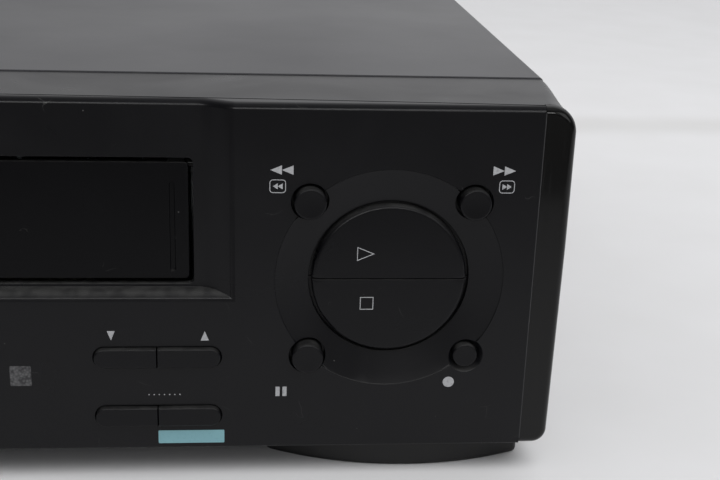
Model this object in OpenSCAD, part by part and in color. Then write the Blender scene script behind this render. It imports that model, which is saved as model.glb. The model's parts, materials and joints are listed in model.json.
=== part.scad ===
/* [Cabinet] */
// Overall width over the end caps
body_w = 378.5; // [376:0.5:390]
// Overall height, feet included
body_h = 95.5; // [95:0.5:100]
// Overall depth, from the small buttons to the aerial sockets
body_d = 300; // [298:1:330]
// Height of the feet under the panel
foot_h = 8; // [6:0.5:8]
// Depth of the moulded front, from its face to the metal cover
bezel_d = 31.7; // [30:0.5:34]
// Width of the glossy strip at each end of the front
end_strip_w = 7.75; // [7:0.25:10]
// Thickness of the steel cover and the bottom pan
sheet_t = 1; // [0.8:0.1:1.2]

/* [Cassette door] */
// Width of the door opening
door_open_w = 200.1; // [196:0.1:202]
// Height of the door opening
door_open_h = 31.05; // [30.5:0.05:32]
// Height of the lower edge of the door opening
door_open_z = 50.35; // [50:0.05:51]
// Depth of the recessed field around the door
recess_d = 3.4; // [2.5:0.1:4]

/* [Buttons] */
// Radius of the round hole that the play and stop buttons share
dial_hole_r = 19.4; // [18:0.05:20]
// Radius of the shallow dished ring around them
dial_ring_r = 27.5; // [26:0.1:28]
// Height of the dial's centre above the table
dial_z = 52.4; // [50:0.1:55]
// Travel of the buttons on the front
press = 0.8; // [0.5:0.1:1]
// Length of the slot that two oblong buttons share
slot_w = 30.7; // [28:0.1:32]
// Height of that slot
slot_h = 5.5; // [5:0.1:6]

/* [Tape deck] */
// Forward travel of the cassette holder
holder_slide = 62; // [50:1:64]
// Downward travel of the cassette holder
holder_drop = 20; // [16:1:20]
// Radius of the head drum
drum_r = 31; // [28:0.5:31]
// Tilt of the head drum in degrees
drum_tilt = 6; // [4:0.5:6]
// Distance from the centre line to each reel
reel_x = 46; // [44:0.5:48]
// Travel of the tape guides along their slots
guide_run = 57; // [50:1:57]

/* [Hidden] */
$fn = 64;

// Planes across the depth
small_button_proud = 2;
face_y = -body_d / 2 + small_button_proud;
lip_y = face_y + bezel_d;
socket_reach = 8.5;
rear_y = body_d / 2 - socket_reach;
panel_z = foot_h;
gap = 0.2;
lip_gap = 0.1;
seam = 0.15;

// The front moulding
plate_t = 2;
bezel_top = body_h - 0.3;
edge_r = 1.7;
sill_r = 0.5;
cap_seam_x = body_w / 2 - end_strip_w;
recess_y = face_y + recess_d;
recess_x = 109.85;
blend_w = 9.8;
blend_steps = 14;
ledge_low_z = 46.7;
ledge_h = 2.8;
ledge_steps = 8;
door_x = door_open_w / 2;
door_top_z = door_open_z + door_open_h;
groove_w = 0.45;
groove_t = 0.25;
groove_y = 6.2;
// the groove bows forward by x squared over this
groove_bow = 7000;
cover_x = body_w / 2 - 1.35;
bend_r = 1.2;

// The glossy end caps and the shoulders of the moulding behind them
cap_x = body_w / 2;
cap_front = face_y + 0.25;
cap_t = 2.2;
cap_rim = 2;
cap_top = bezel_top - 0.05;
cap_low = panel_z + 0.4;
// radii of the outline's top and bottom corners
cap_corner = [6.5, 3.7];
// below this height the side leans in by the given share
lean_z = 60;
lean = 0.013;
peg_z = [25, 78];

// The dial, its small buttons and the oblong buttons
dish_step = 0.1;
dish_deep = 2.2;
boss_r = 34;
boss_t = 3.4;
dial_x = 146.6;
dial_r = dial_hole_r - 0.75;
dial_sink = 0.9;
dial_rim = 0.8;
dial_face_y = face_y + dial_sink;
split_z = dial_z;
split_gap = 0.3;
small_dx = 19.4;
small_up = 19.5;
small_down = 19.7;
small_hole_r = 4.45;
small_r = 3.8;
record_hole_r = 3.4;
record_r = 3.05;
record_cone_r = 4.55;
record_cone_t = 1.2;
record_proud = 0.4;
slot_x = 91.2;
slot_z = [32.6, 17];
slot_split_x = 91.1;
slot_split = 0.4;
slot_proud = 1.2;
slot_ease = 0.25;
key_w = slot_w / 2 - slot_ease;
key_h = slot_h / 2 - slot_ease;
stem_r = 1.5;
left_slot_x = -146.6;
left_slot_z = [70, 54];
flange_gap = 0.1;
flange_t = 1.1;
flange_y = face_y + plate_t + flange_gap;
dial_flange_y = face_y + boss_t + flange_gap;
stem_end_y = face_y + 7;
switch_y = stem_end_y + press + 0.3;
switch_t = 3.4;
board_t = 1.6;
front_board_y = switch_y + switch_t;

// The display and the remote eye
window_x = [-98, 42];
window_z = [14, 38];
eye_x = -146.6;
eye_z = 30;

// The door and its hinge
flap_gap = 1.15;
flap_t = 2;
flap_y = recess_y + 0.3;
hinge_y = face_y + 6.7;
hinge_z = 79.3;
hinge_r = 1;
spring_x = 115;
pin_fit = 0.05;

// The deck, in plan
deck_x = 118;
deck_y = [lip_y + 4, 88];
deck_z = 24;
deck_t = 1.2;
deck_top = deck_z + deck_t;
cassette_h = 25;
bay_z = 51;
stop_y = -10;
holder_x = 94.2;
holder_front = stop_y - 40;
slider_x = 96.2;
side_x = 98;
pin_z = 64;
pin_y = [-42, -16];
stud_y = [-34, -24];
pin_r = 1.5;
bridge_z = [78.4, 79.4];
slot_play = 0.15;
reel_y = -66;
drum_y = 30;
drum_z = 30;
capstan = [50, 0];
shaft_r = 1.5;
flywheel_z = 15.8;
flywheel_t = 6;
flywheel_r = 29;
belt_z = 22;
belt_t = 1.4;
pulley = [0, -44];
capstan_pulley_r = 6;
pulley_r = 15;
reel_r = 26;
idler_r = 12.5;
idler_reach = 22;
idler = pulley - [0, idler_reach];
clutch_r = idler_reach - idler_r - 0.3;
roller_r = 6.5;
pinch_pivot = [66, 28];
pinch_axis = [58.3, 0];
pinch_open = 22;
guide_start = [32, -18];
guide_angle = 12;
// the guides' tops stay under a cassette that is still up
guide_top = bay_z - 2;
gear_module = 0.8;
pinion_teeth = 14;
cam_teeth = 56;
gear_gap = gear_module * (pinion_teeth + cam_teeth) / 2 + 0.1;
cam = [-86, 44];
gear_z = 27;
gear_t = 4;

// Feet, screws and posts
rear_foot_x = 150;
rear_foot_y = 112;
rear_foot_r = 11;
front_foot_x = [117.5, 183.4];
front_foot_r = 73;
screw_y = [-70, 100];
screw_z = 18;
screw_r = 1.4;
screw_head_r = 3.2;
rear_screw_x = [-178, 0, 178];
rear_screw_z = 88;
posts = [[-170, 42], [-60, 42], [60, 42], [112, 84], [170, 42]];
post_r = 2.4;
leg_x = 112;
leg_y = [-105, 80];
leg_r = 4;

// Boards and sockets
board_z = 13;
scart_x = -20;
scart_z = [66, 42];
scart_base = [board_z + board_t, scart_z[1] + 7.8];
tuner_x = 120;
tuner_w = 46;
tuner_z = [34, 80];
rca_x = [50, 66];
rca_z = 30;
rca_r = 4.15;
inlet_x = -150;
inlet_z = 26;
aerial_z = [66, 46];
aerial_in_r = [5.7, 4.8];
aerial_out_r = [4.75, 4.1];
inlet_pin_x = 4.3;
inlet_pin_r = 1.2;
scart_tongue = [18, 1.4];
head_places = [[-58, -2], [53, 24]];
signal_blocks = [
    [[128, 168], [-40, -12], [0, 3.2]], [[130, 158], [10, 24], [0, 3.2]],
    [[128, 176], [-90, -60], [0, 14]], [[-40, 30], [100, 118], [0, 4]]
];
signal_cans = concat(
    [for (x = [132:14:174], y = [48, 64]) [x, y, 4, 12]],
    [for (x = [130:9:175]) [x, -52, 2.5, 8]],
    [for (x = [-100:12:-28]) [x, 104, 3.2, 9]]
);
// transformer, heat sink with its transistors, and a relay
supply_blocks = concat(
    [[[-168, -138], [0, 30], [0, 6]], [[-165, -141], [3, 27], [6, 24]], [[-168, -138], [0, 30], [24, 28]]],
    [[[-130, -128], [-30, 60], [0, 45]]],
    [for (y = [-20:20:40]) [[-137, -130], [y - 5, y + 5], [4, 18]]],
    [[[-152, -134], [76, 94], [0, 18]]]
);
supply_cans = concat(
    [[-156, 52, 11, 34], [-172, 84, 5, 12]],
    [for (y = [-70:18:-34]) [-146, y, 6.2, 24]],
    [for (y = [-68, -44]) [-168, y, 5, 20]]
);

// Shapes that repeat
function around(c, half) = [c - half, c + half];
module block(x, y, z) translate([x[0], y[0], z[0]]) cube([x[1] - x[0], y[1] - y[0], z[1] - z[0]]);

module along_x(x) translate([x[0], 0, 0]) rotate([90, 0, 90]) linear_extrude(x[1] - x[0]) children();

module along_y(y) translate([0, y[1], 0]) rotate([90, 0, 0]) linear_extrude(y[1] - y[0]) children();

module along_z(z) translate([0, 0, z[0]]) linear_extrude(z[1] - z[0]) children();

module rod_x(y, z, r, x) translate([x[0], y, z]) rotate([0, 90, 0]) cylinder(r = r, h = x[1] - x[0]);

module rod_y(x, z, r, y) translate([x, y[1], z]) rotate([90, 0, 0]) cylinder(r = r, h = y[1] - y[0]);

module rod_z(p, r, z) translate([p[0], p[1], z[0]]) cylinder(r = r, h = z[1] - z[0]);

module tube_z(p, outer, inner, z) difference() {
    rod_z(p, outer, z);
    rod_z(p, inner, [z[0] - 1, z[1] + 1]);
}

// A cup along Y that is open at its far end: radii are its outside and inside
module tube_y(x, z, radii, y, floor_t) difference() {
    rod_y(x, z, radii[0], y);
    rod_y(x, z, radii[1], [y[0] + floor_t, y[1] + 1]);
}

// A flat rectangle between two corners with round corners of radius r
module pad(a, b, r) {
    translate([a[0] + r, a[1]]) square([b[0] - a[0] - 2 * r, b[1] - a[1]]);
    translate([a[0], a[1] + r]) square([b[0] - a[0], b[1] - a[1] - 2 * r]);
    for (u = [a[0] + r, b[0] - r], v = [a[1] + r, b[1] - r]) translate([u, v]) circle(r);
}

// Involute spur gear outline, thinned by a little backlash
function involute(base, t) = let (a = t * PI / 180)
    [base * (cos(t) + a * sin(t)), base * (sin(t) - a * cos(t))];
function turned(p, a) = [p[0] * cos(a) - p[1] * sin(a), p[0] * sin(a) + p[1] * cos(a)];
function roll_angle(base, r) = sqrt(max(0, pow(r / base, 2) - 1)) * 180 / PI;
function spread(base, r) = roll_angle(base, r) - atan(roll_angle(base, r) * PI / 180);
function flank(base, low, high, half, side) = [for (i = [0:4])
    let (r = max(base, low) + (high - max(base, low)) * i / 4, p = involute(base, roll_angle(base, r)))
    turned([p[0], side * p[1]], -side * half)];
module gear_outline(teeth) {
    pitch = gear_module * teeth / 2;
    base = pitch * cos(20);
    tip = pitch + 0.85 * gear_module;
    root = pitch - 1.1 * gear_module;
    half = 90 / teeth + spread(base, pitch) - 0.16 / pitch * 180 / PI / 2;
    circle(root, $fn = 96);
    for (i = [0:teeth - 1]) rotate(i * 360 / teeth) polygon(concat(
        [turned([root - 0.4, 0], -half)],
        flank(base, root, tip, half, 1),
        [for (i = [4:-1:0]) flank(base, root, tip, half, -1)[i]],
        [turned([root - 0.4, 0], half)]
    ));
}

// The cabinet
module top_cover() color("#3a3a3d") difference() {
    along_y([lip_y + lip_gap, rear_y + 0.7]) difference() {
        pad([-cover_x, 0], [cover_x, body_h], bend_r);
        translate([-cover_x + sheet_t, -1]) square([2 * (cover_x - sheet_t), body_h - sheet_t + 1]);
        translate([-cover_x - 1, -1]) square([2 * cover_x + 2, panel_z + gap + 1]);
    }
    // cooling slots over the power supply and the boards
    for (x = [-150, 150], y = [60:8:124]) along_z([body_h - 3, body_h + 1])
        translate([x, y]) pad([-22, -1.4], [22, 1.4], 1.3);
    for (y = [46:6:124]) along_x([-body_w, body_w]) translate([y, 30]) pad([-1.2, 0], [1.2, 30], 1.1);
    for (y = screw_y) rod_x(y, screw_z, screw_r + 0.3, [-body_w, body_w]);
}

module bottom_pan() color("#8f9294") difference() {
    union() {
        y = [lip_y + gap, rear_y - 1.5];
        block(around(0, cover_x - 1.2), y, [panel_z + gap, panel_z + gap + sheet_t]);
        for (s = [-1, 1])
            block(around(s * (cover_x - 1.7), 0.5), y, [panel_z + gap, panel_z + 16]);
        for (x = [-172, -128, -60, 60, 172], y = [-60, 110]) rod_z([x, y], 3.2, [panel_z + gap, board_z]);
    }
    for (y = screw_y) rod_x(y, screw_z, screw_r + pin_fit, [-body_w, body_w]);
    for (x = [-160, 150], y = [-36:8:36]) along_z([panel_z - 1, panel_z + 2])
        translate([x, y]) pad([-16, -1.4], [16, 1.4], 1.3);
}

module rear_panel() color("#2b2b2d") difference() {
    block([-cover_x + 1.4, cover_x - 1.4], [rear_y - 1.5, rear_y], [panel_z + 0.4, body_h - 1.2]);
    for (z = scart_z)
        along_y([rear_y - 3, rear_y + 1]) translate([scart_x, z]) pad([-25, -7.8], [25, 7.8], 1.5);
    for (z = aerial_z) rod_y(tuner_x, z, 6.3, [rear_y - 3, rear_y + 1]);
    for (x = rca_x) rod_y(x, rca_z, 4.6, [rear_y - 3, rear_y + 1]);
    along_y([rear_y - 3, rear_y + 1]) translate([inlet_x, inlet_z]) pad([-12.2, -7.2], [12.2, 7.2], 1.5);
    for (x = [-165:6:-123])
        along_y([rear_y - 3, rear_y + 1]) translate([x, 46]) pad([-1.3, 0], [1.3, 36], 1.2);
    for (x = rear_screw_x) rod_y(x, rear_screw_z, screw_r + pin_fit, [rear_y - 3, rear_y + 1]);
}

// Depth of the recessed field at a distance t, 0 to 1, along its soft edge
function soft(t) = (1 - cos(180 * min(1, t * 1.08))) / 2;
// A point of that edge on side s, i steps in from its outer end
function soft_edge(s, i) = let (t = i / blend_steps, from = 0.12)
    [s * (recess_x - blend_w * t), face_y + recess_d * (soft(from + (1 - from) * t) - soft(from) * (1 - t))];

module recess_cutter() intersection() {
    along_z([ledge_low_z - 1, body_h + 1]) polygon(concat(
        [[-recess_x, face_y - 5], [recess_x, face_y - 5]],
        [for (i = [0:blend_steps]) soft_edge(1, i)],
        [for (i = [blend_steps:-1:0]) soft_edge(-1, i)]
    ));
    along_x([-body_w, body_w]) polygon(concat(
        [[face_y - 6, body_h + 2], [face_y - 6, ledge_low_z - 0.5], [face_y - 0.01, ledge_low_z - 0.5]],
        [for (i = [0:ledge_steps]) let (a = 90 * i / ledge_steps)
            [face_y - 0.01 + (recess_d + 0.02) * (1 - cos(a)), ledge_low_z + ledge_h * sin(a)]],
        [[face_y + recess_d + 0.01, body_h + 2]]
    ));
}

// The front's top edge from left to right, seen from above
function edge_path() = concat(
    [[-cap_seam_x - 1, face_y]],
    [for (i = [0:blend_steps]) soft_edge(-1, i)],
    [for (i = [blend_steps:-1:0]) soft_edge(1, i)],
    [[cap_seam_x + 1, face_y]]
);

// What is outside a round edge: points are the distance behind the path and the height
function edge_section() = concat(
    [[-2, bezel_top - edge_r]],
    [for (a = [0:15:90]) [edge_r * (1 - cos(a)) - 0.01, bezel_top - edge_r * (1 - sin(a))]],
    [[edge_r, bezel_top + 1], [-2, bezel_top + 1]]
);

function unit(v) = v / norm(v);
// Direction square to the path at its point i, halfway between those of the two legs
function square_to(path, i) = let (
    before = i > 0 ? unit(path[i] - path[i - 1]) : [1, 0],
    after = i < len(path) - 1 ? unit(path[i + 1] - path[i]) : [1, 0]
) turned(unit(before + after), 90);

// Carries a section along a level path, one ring at each of its points
function swept(path, section) = [for (i = [0:len(path) - 1]) [for (s = section)
    let (q = path[i] + s[0] * square_to(path, i)) [q[0], q[1], s[1]]]];

// A closed solid through rings that have the same number of points
module loft(rings) {
    n = len(rings[0]);
    last = len(rings) - 1;
    polyhedron(
        points = [for (ring = rings, p = ring) p],
        faces = concat(
            [[for (j = [0:n - 1]) j], [for (j = [n - 1:-1:0]) last * n + j]],
            [for (i = [0:last - 1], j = [0:n - 1], half = [0, 1]) let (a = i * n + j, b = i * n + (j + 1) % n)
                half == 0 ? [a, a + n, b + n] : [a, b + n, b]]
        )
    );
}

// Points round a quarter circle, clockwise from an angle
function corner(c, r, from) = [for (i = [0:10]) let (a = from - 9 * i) c + r * [cos(a), sin(a)]];

// The outline of an end from x0 to its side at x, at the depth y and drawn in by a margin
function end_ring(y, x0, x, corners, top, margin) = let (
    outline = concat(
        [[x0, top - margin]],
        corner([x - corners[0], top - corners[0]], corners[0] - margin, 90),
        [[x - margin, lean_z]],
        corner([x - corners[1], cap_low + corners[1]], corners[1] - margin, 0),
        [[x0, cap_low + margin]]
    )
) [for (p = outline) [p[0] > x0 ? p[0] - lean * max(0, lean_z - p[1]) : x0, y, p[1]]];

module bezel_section() difference() {
    union() {
        translate([face_y + edge_r, panel_z]) square([bezel_d - edge_r, bezel_top - panel_z]);
        translate([face_y, panel_z + sill_r]) square([edge_r + 1, bezel_top - panel_z - sill_r]);
        translate([face_y + sill_r, panel_z]) square([edge_r, sill_r + 1]);
        translate([face_y + sill_r, panel_z + sill_r]) circle(sill_r);
    }
    translate([face_y + plate_t, panel_z + 2]) square([bezel_d, bezel_top - panel_z - 4.2]);
}

// A point of the parting groove, seen from above
function groove_at(x, back) = [x, face_y + groove_y - x * x / groove_bow + back];

// Between the end cap and the lip the moulding's corner grows tighter and its side draws in to the cover
module shoulder() difference() {
    start = cap_front + cap_t + 0.1;
    loft([for (i = [0:10]) let (t = i / 10, ease = t * t * (3 - 2 * t))
        end_ring(
            start + (lip_y - start) * t, cap_seam_x - 3, cap_x - (cap_x - cover_x) * pow(t, 0.65),
            cap_corner + ([bend_r, bend_r] - cap_corner) * ease, bezel_top, 0
        )]);
    block([cap_seam_x - 4, cover_x - 2.2], [start + 2, lip_y + 1], [cap_low + 2, bezel_top - 2.2]);
}

module slot_hole(x, z) along_y([face_y - 1, face_y + plate_t + 1])
    translate([x, z]) pad([-slot_w / 2, -slot_h / 2], [slot_w / 2, slot_h / 2], slot_h / 2 - 0.05);

module front_bezel() color("#232325") difference() {
    union() {
        along_x([-cap_seam_x + seam, cap_seam_x - seam]) bezel_section();
        recess_back = recess_y + plate_t;
        block([-recess_x - 2, recess_x + 2], [face_y + 1, recess_back], [ledge_low_z - 2, bezel_top - 2]);
        for (s = [0, 1]) mirror([s, 0, 0]) shoulder();
        // the plate is thicker behind the dished ring
        rod_y(dial_x, dial_z, boss_r, [face_y + 1, face_y + boss_t]);
        // two lugs carry the door's hinge pins
        for (s = [-1, 1])
            block(around(s * (door_x + 1.9), 1.5), [recess_back - 0.5, hinge_y + 3], around(hinge_z, 3));
        // posts for the front board
        for (p = posts) rod_y(p[0], p[1], post_r, [face_y + plate_t - 0.5, front_board_y]);
    }
    recess_cutter();
    along_y([face_y - 5, face_y + 12]) pad([-door_x, door_open_z], [door_x, door_top_z], 1.3);
    rod_x(hinge_y, hinge_z, hinge_r + pin_fit, [-door_x - 3, door_x + 4]);
    loft(swept(edge_path(), edge_section()));
    // dished ring, the dial's hole and the small buttons' holes
    rod_y(dial_x, dial_z, dial_ring_r, [face_y - 1, face_y + dish_step]);
    translate([dial_x, face_y + dish_step - 0.01, dial_z]) rotate([-90, 0, 0])
        cylinder(r1 = dial_ring_r, r2 = dial_hole_r, h = dish_deep - dish_step);
    through = [face_y - 1, face_y + boss_t + 1];
    rod_y(dial_x, dial_z, dial_hole_r, through);
    for (p = [[-1, small_up], [1, small_up], [-1, -small_down]])
        rod_y(dial_x + p[0] * small_dx, dial_z + p[1], small_hole_r, through);
    rod_y(dial_x + small_dx, dial_z - small_down, record_hole_r, through);
    translate([dial_x + small_dx, face_y, dial_z - small_down]) rotate([-90, 0, 0])
        cylinder(r1 = record_cone_r, r2 = record_hole_r, h = record_cone_t);
    for (z = slot_z) slot_hole(slot_x, z);
    for (z = left_slot_z) slot_hole(left_slot_x, z);
    along_y([face_y - 1, face_y + plate_t + 1])
        pad([window_x[0], window_z[0]], [window_x[1], window_z[1]], 2);
    along_y([face_y - 1, face_y + plate_t + 1]) translate([eye_x, eye_z]) pad([-15, -6], [15, 6], 5.8);
    // parting groove along the top
    along_z([bezel_top - groove_t, bezel_top + 1]) polygon(concat(
        [for (i = [-12:12]) groove_at(cap_seam_x * i / 12, 0)],
        [for (i = [12:-1:-12]) groove_at(cap_seam_x * i / 12, groove_w)]));
    for (s = [-1, 1], z = peg_z) rod_y(s * (cap_seam_x + 3.5), z, stem_r + 0.1, [face_y, face_y + 9]);
}

// A glossy strip that closes one end of the front, with two pegs in the moulding behind it
module end_cap() {
    loft(concat(
        [for (a = [0:15:90]) let (depth = cap_rim * (1 - cos(a)), margin = cap_rim * (1 - sin(a)))
            end_ring(cap_front + depth, cap_seam_x, cap_x, cap_corner, cap_top, margin)],
        [end_ring(cap_front + cap_t, cap_seam_x, cap_x, cap_corner, cap_top, 0)]
    ));
    for (z = peg_z) rod_y(cap_seam_x + 3.5, z, stem_r, [cap_front + cap_t - 0.5, cap_front + cap_t + 6]);
}

module end_cap_right() color("#121214") end_cap();

module end_cap_left() color("#121214") mirror([1, 0, 0]) end_cap();

// A wide moulded foot whose front is part of a large circle
module front_foot() {
    x = front_foot_x;
    y = face_y + 3.5;
    centre = 153.5;
    difference() {
        intersection() {
            rod_z([centre, y + front_foot_r], front_foot_r, [0, foot_h]);
            along_z([0, foot_h]) pad([x[0], y - 1], [x[1], y + 36], 4);
        }
        along_z([-1, foot_h - 2]) pad([x[0] + 8, y + 12], [x[1] - 8, y + 30], 3);
    }
}

module front_foot_right() color("#1b1b1c") front_foot();

module front_foot_left() color("#1b1b1c") mirror([1, 0, 0]) front_foot();

module rear_feet() color("#1a1a1a") for (s = [-1, 1])
    rod_z([s * rear_foot_x, rear_foot_y], rear_foot_r, [0, foot_h + gap]);

// A screw with a crossed recess that points along +X, its head's seat at the origin
module screw(head_r, head_t) difference() {
    union() {
        rotate([0, -90, 0]) cylinder(r = screw_r, h = 6);
        rotate([0, 90, 0]) cylinder(r = head_r, h = head_t);
    }
    for (a = [0, 90]) rotate([a, 0, 0]) block([head_t / 2, head_t + 1], [-2, 2], [-0.4, 0.4]);
}

module cover_screws() color("#1c1c1e") {
    for (a = [0, 1], y = screw_y) translate([(1 - 2 * a) * cover_x, y, screw_z]) rotate([0, 0, 180 * a])
        screw(screw_head_r, 1.3);
    for (x = rear_screw_x)
        translate([x, rear_y, rear_screw_z]) rotate([0, 0, 90]) screw(screw_head_r - 0.2, 1.6);
}

// The cassette door
module cassette_door() color("#141416") difference() {
    union() {
        along_y([flap_y, flap_y + flap_t])
            pad([-door_x + flap_gap, door_open_z + flap_gap], [door_x - flap_gap, door_top_z - flap_gap], 1);
        for (s = [-1, 1]) {
            block(around(s * (door_x - 4), 2), [flap_y + 1, hinge_y], [hinge_z - 1.9, hinge_z + 0.9]);
            rod_x(hinge_y, hinge_z, 1.9, around(s * (door_x - 4), 2));
        }
        rod_x(hinge_y, hinge_z, hinge_r, [door_x - 5, spring_x + 5.4]);
        rod_x(hinge_y, hinge_z, hinge_r, [-door_x - 2.6, -door_x + 5]);
    }
    // one shallow groove near each end
    for (x = [-95.1, 95.1]) along_y([flap_y - 1, flap_y + 0.5]) pad([x - 0.6, 53.5], [x + 0.6, 75.4], 0.55);
}

// Closing spring on the hinge line, a coil drawn as its outer sleeve with two legs
module door_spring() color("#b9bcc0") difference() {
    union() {
        rod_x(hinge_y, hinge_z, 2.6, [spring_x, spring_x + 5]);
        block([spring_x, spring_x + 0.8], [hinge_y, hinge_y + 3.6], [hinge_z + 1.6, hinge_z + 2.4]);
        block([spring_x + 4.2, spring_x + 5], [hinge_y + 1.6, hinge_y + 2.4], [hinge_z - 7, hinge_z]);
    }
    rod_x(hinge_y, hinge_z, 1.7, [spring_x - 1, spring_x + 6]);
}

// Half of the round play and stop pair, cut level across its middle
module dial_half(z0, z1, stem_z) intersection() {
    union() {
        translate([dial_x, dial_face_y, dial_z]) rotate([-90, 0, 0]) rotate_extrude() {
            square([dial_r - dial_rim, dial_rim + 1]);
            translate([0, dial_rim]) square([dial_r, dial_flange_y + 0.3 - dial_face_y - dial_rim]);
            translate([dial_r - dial_rim, dial_rim]) circle(dial_rim);
        }
        rod_y(dial_x, dial_z, dial_hole_r + 1.2, [dial_flange_y, dial_flange_y + flange_t]);
        rod_y(dial_x, stem_z, 1.8, [dial_flange_y, stem_end_y]);
    }
    block([dial_x - 30, dial_x + 30], [face_y - 5, stem_end_y], [z0, z1]);
}

module play_button() color("#242426") dial_half(split_z + split_gap / 2, dial_z + 30, dial_z + 9);

module stop_button() color("#242426") dial_half(dial_z - 30, split_z - split_gap / 2, dial_z - 9);

// A small round button with a rounded rim
module round_button(x, z, r, front) {
    rim = 0.5;
    translate([x, front, z]) rotate([-90, 0, 0]) rotate_extrude() {
        square([r - rim, dial_flange_y - front + 0.4]);
        translate([0, rim]) square([r, dial_flange_y - front + 0.4 - rim]);
        translate([r - rim, rim]) circle(rim, $fn = 32);
    }
    rod_y(x, z, 5.3, [dial_flange_y, dial_flange_y + flange_t]);
    rod_y(x, z, stem_r, [dial_flange_y, stem_end_y]);
}

module rewind_button() color("#242426")
    round_button(dial_x - small_dx, dial_z + small_up, small_r, face_y - small_button_proud);

module fast_forward_button() color("#242426")
    round_button(dial_x + small_dx, dial_z + small_up, small_r, face_y - small_button_proud);

module pause_button() color("#242426")
    round_button(dial_x - small_dx, dial_z - small_down, small_r, face_y - small_button_proud);

module record_button() color("#242426")
    round_button(dial_x + small_dx, dial_z - small_down, record_r, face_y - record_proud);

// An oblong button that fills its slot, without its stem
module oblong_cap(x, z) {
    along_y([face_y - slot_proud, flange_y + 0.4]) translate([x, z])
        pad([-key_w, -key_h], [key_w, key_h], key_h - 0.05);
    block(around(x, key_w + 0.9), [flange_y, flange_y + flange_t], around(z, key_h + 1));
}

// Half of an oblong pair: side is -1 for the left half and 1 for the right
module oblong_button(x, z, side) {
    split = slot_split_x + side * slot_split / 2;
    intersection() {
        oblong_cap(x, z);
        half = side > 0 ? [split, x + slot_w] : [x - slot_w, split];
        block(half, [face_y - 5, stem_end_y], around(z, slot_h));
    }
    rod_y(x + side * slot_w / 4, z, stem_r, [flange_y, stem_end_y]);
}

module channel_down_button() color("#242426") oblong_button(slot_x, slot_z[0], -1);

module channel_up_button() color("#242426") oblong_button(slot_x, slot_z[0], 1);

module menu_button() color("#242426") oblong_button(slot_x, slot_z[1], -1);

module set_button() color("#242426") oblong_button(slot_x, slot_z[1], 1);

// An oblong button that fills its slot alone
module wide_button(x, z) {
    oblong_cap(x, z);
    rod_y(x, z, stem_r, [flange_y, stem_end_y]);
}

module power_button() color("#242426") wide_button(left_slot_x, left_slot_z[0]);

module eject_button() color("#242426") wide_button(left_slot_x, left_slot_z[1]);

// Windows, the display behind one and the front board
module display_window() color("#0d0d10") {
    along_y([face_y + 0.2, face_y + plate_t])
        pad([window_x[0] + 0.15, window_z[0] + 0.15], [window_x[1] - 0.15, window_z[1] - 0.15], 1.9);
    block(
        [window_x[0] - 2, window_x[1] + 2], [face_y + plate_t + 0.05, face_y + plate_t + 1],
        [window_z[0] - 1.5, window_z[1] + 1.5]);
    block(
        [window_x[0] + 4, window_x[1] - 4], around(face_y + plate_t, 0.5),
        [window_z[0] + 4, window_z[1] - 4]);
}

module display_tube() color("#5b6f6c") {
    block([window_x[0] + 8, window_x[1] - 8], [face_y + 4, face_y + 9], [window_z[0] + 2, window_z[1] - 2]);
    for (i = [0:19]) rod_y(window_x[0] + 12 + i * 6.1, window_z[0] + 3, 0.3, [face_y + 9, front_board_y]);
}

module eye_plate(half_w, half_h, y) along_y(y) translate([eye_x, eye_z])
    pad([-half_w, -half_h], [half_w, half_h], half_h - 0.2);

module remote_window() color("#1c0c10") {
    eye_plate(14.85, 5.85, [face_y + 0.2, face_y + plate_t]);
    eye_plate(12, 4, around(face_y + plate_t, 0.5));
    eye_plate(16.5, 7.5, [face_y + plate_t + 0.05, face_y + plate_t + 1]);
}

module front_board() color("#3e5a34") difference() {
    union() {
        block([-178, 178], [front_board_y, front_board_y + board_t], [11.5, 46.5]);
        for (s = [-1, 1]) block(around(s * 144.5, 33.5), [front_board_y, front_board_y + board_t], [12, 88]);
    }
    for (p = posts) rod_y(p[0], p[1], post_r / 2, [face_y, front_board_y + 5]);
}

module tact_switch(x, z) {
    block([x - 3, x + 3], [switch_y + 0.4, front_board_y], [z - 3, z + 3]);
    rod_y(x, z, 1.7, [switch_y, switch_y + 0.5]);
}

module tact_switches() color("#1f1f1f") {
    for (z = [dial_z + 9, dial_z - 9]) tact_switch(dial_x, z);
    for (s = [-1, 1]) {
        tact_switch(dial_x + s * small_dx, dial_z + small_up);
        tact_switch(dial_x + s * small_dx, dial_z - small_down);
        for (z = slot_z) tact_switch(slot_x + s * slot_w / 4, z);
    }
    for (z = left_slot_z) tact_switch(left_slot_x, z);
}

// Boards and what stands on them
module main_board() color("#9a7a3c") difference() {
    block([-118, 182], [-130, 132], [board_z, board_z + board_t]);
    for (s = [-1, 1], y = leg_y) rod_z([s * leg_x, y], leg_r + 0.6, [0, 30]);
}

// Blocks as [x, y, z] ranges and cans as [x, y, r, h], both from the top of a board
module stand(blocks, cans, top) {
    for (b = blocks) block(b[0], b[1], [top + b[2][0], top + b[2][1]]);
    for (c = cans) rod_z([c[0], c[1]], c[2], [top, top + c[3]]);
}

module board_parts() color("#28282a") stand(signal_blocks, signal_cans, board_z + board_t);

module power_board() color("#a07b3a") block([-182, -122], [-90, 132], [board_z, board_z + board_t]);

module power_parts() color("#c9a24a") stand(supply_blocks, supply_cans, board_z + board_t);

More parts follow.
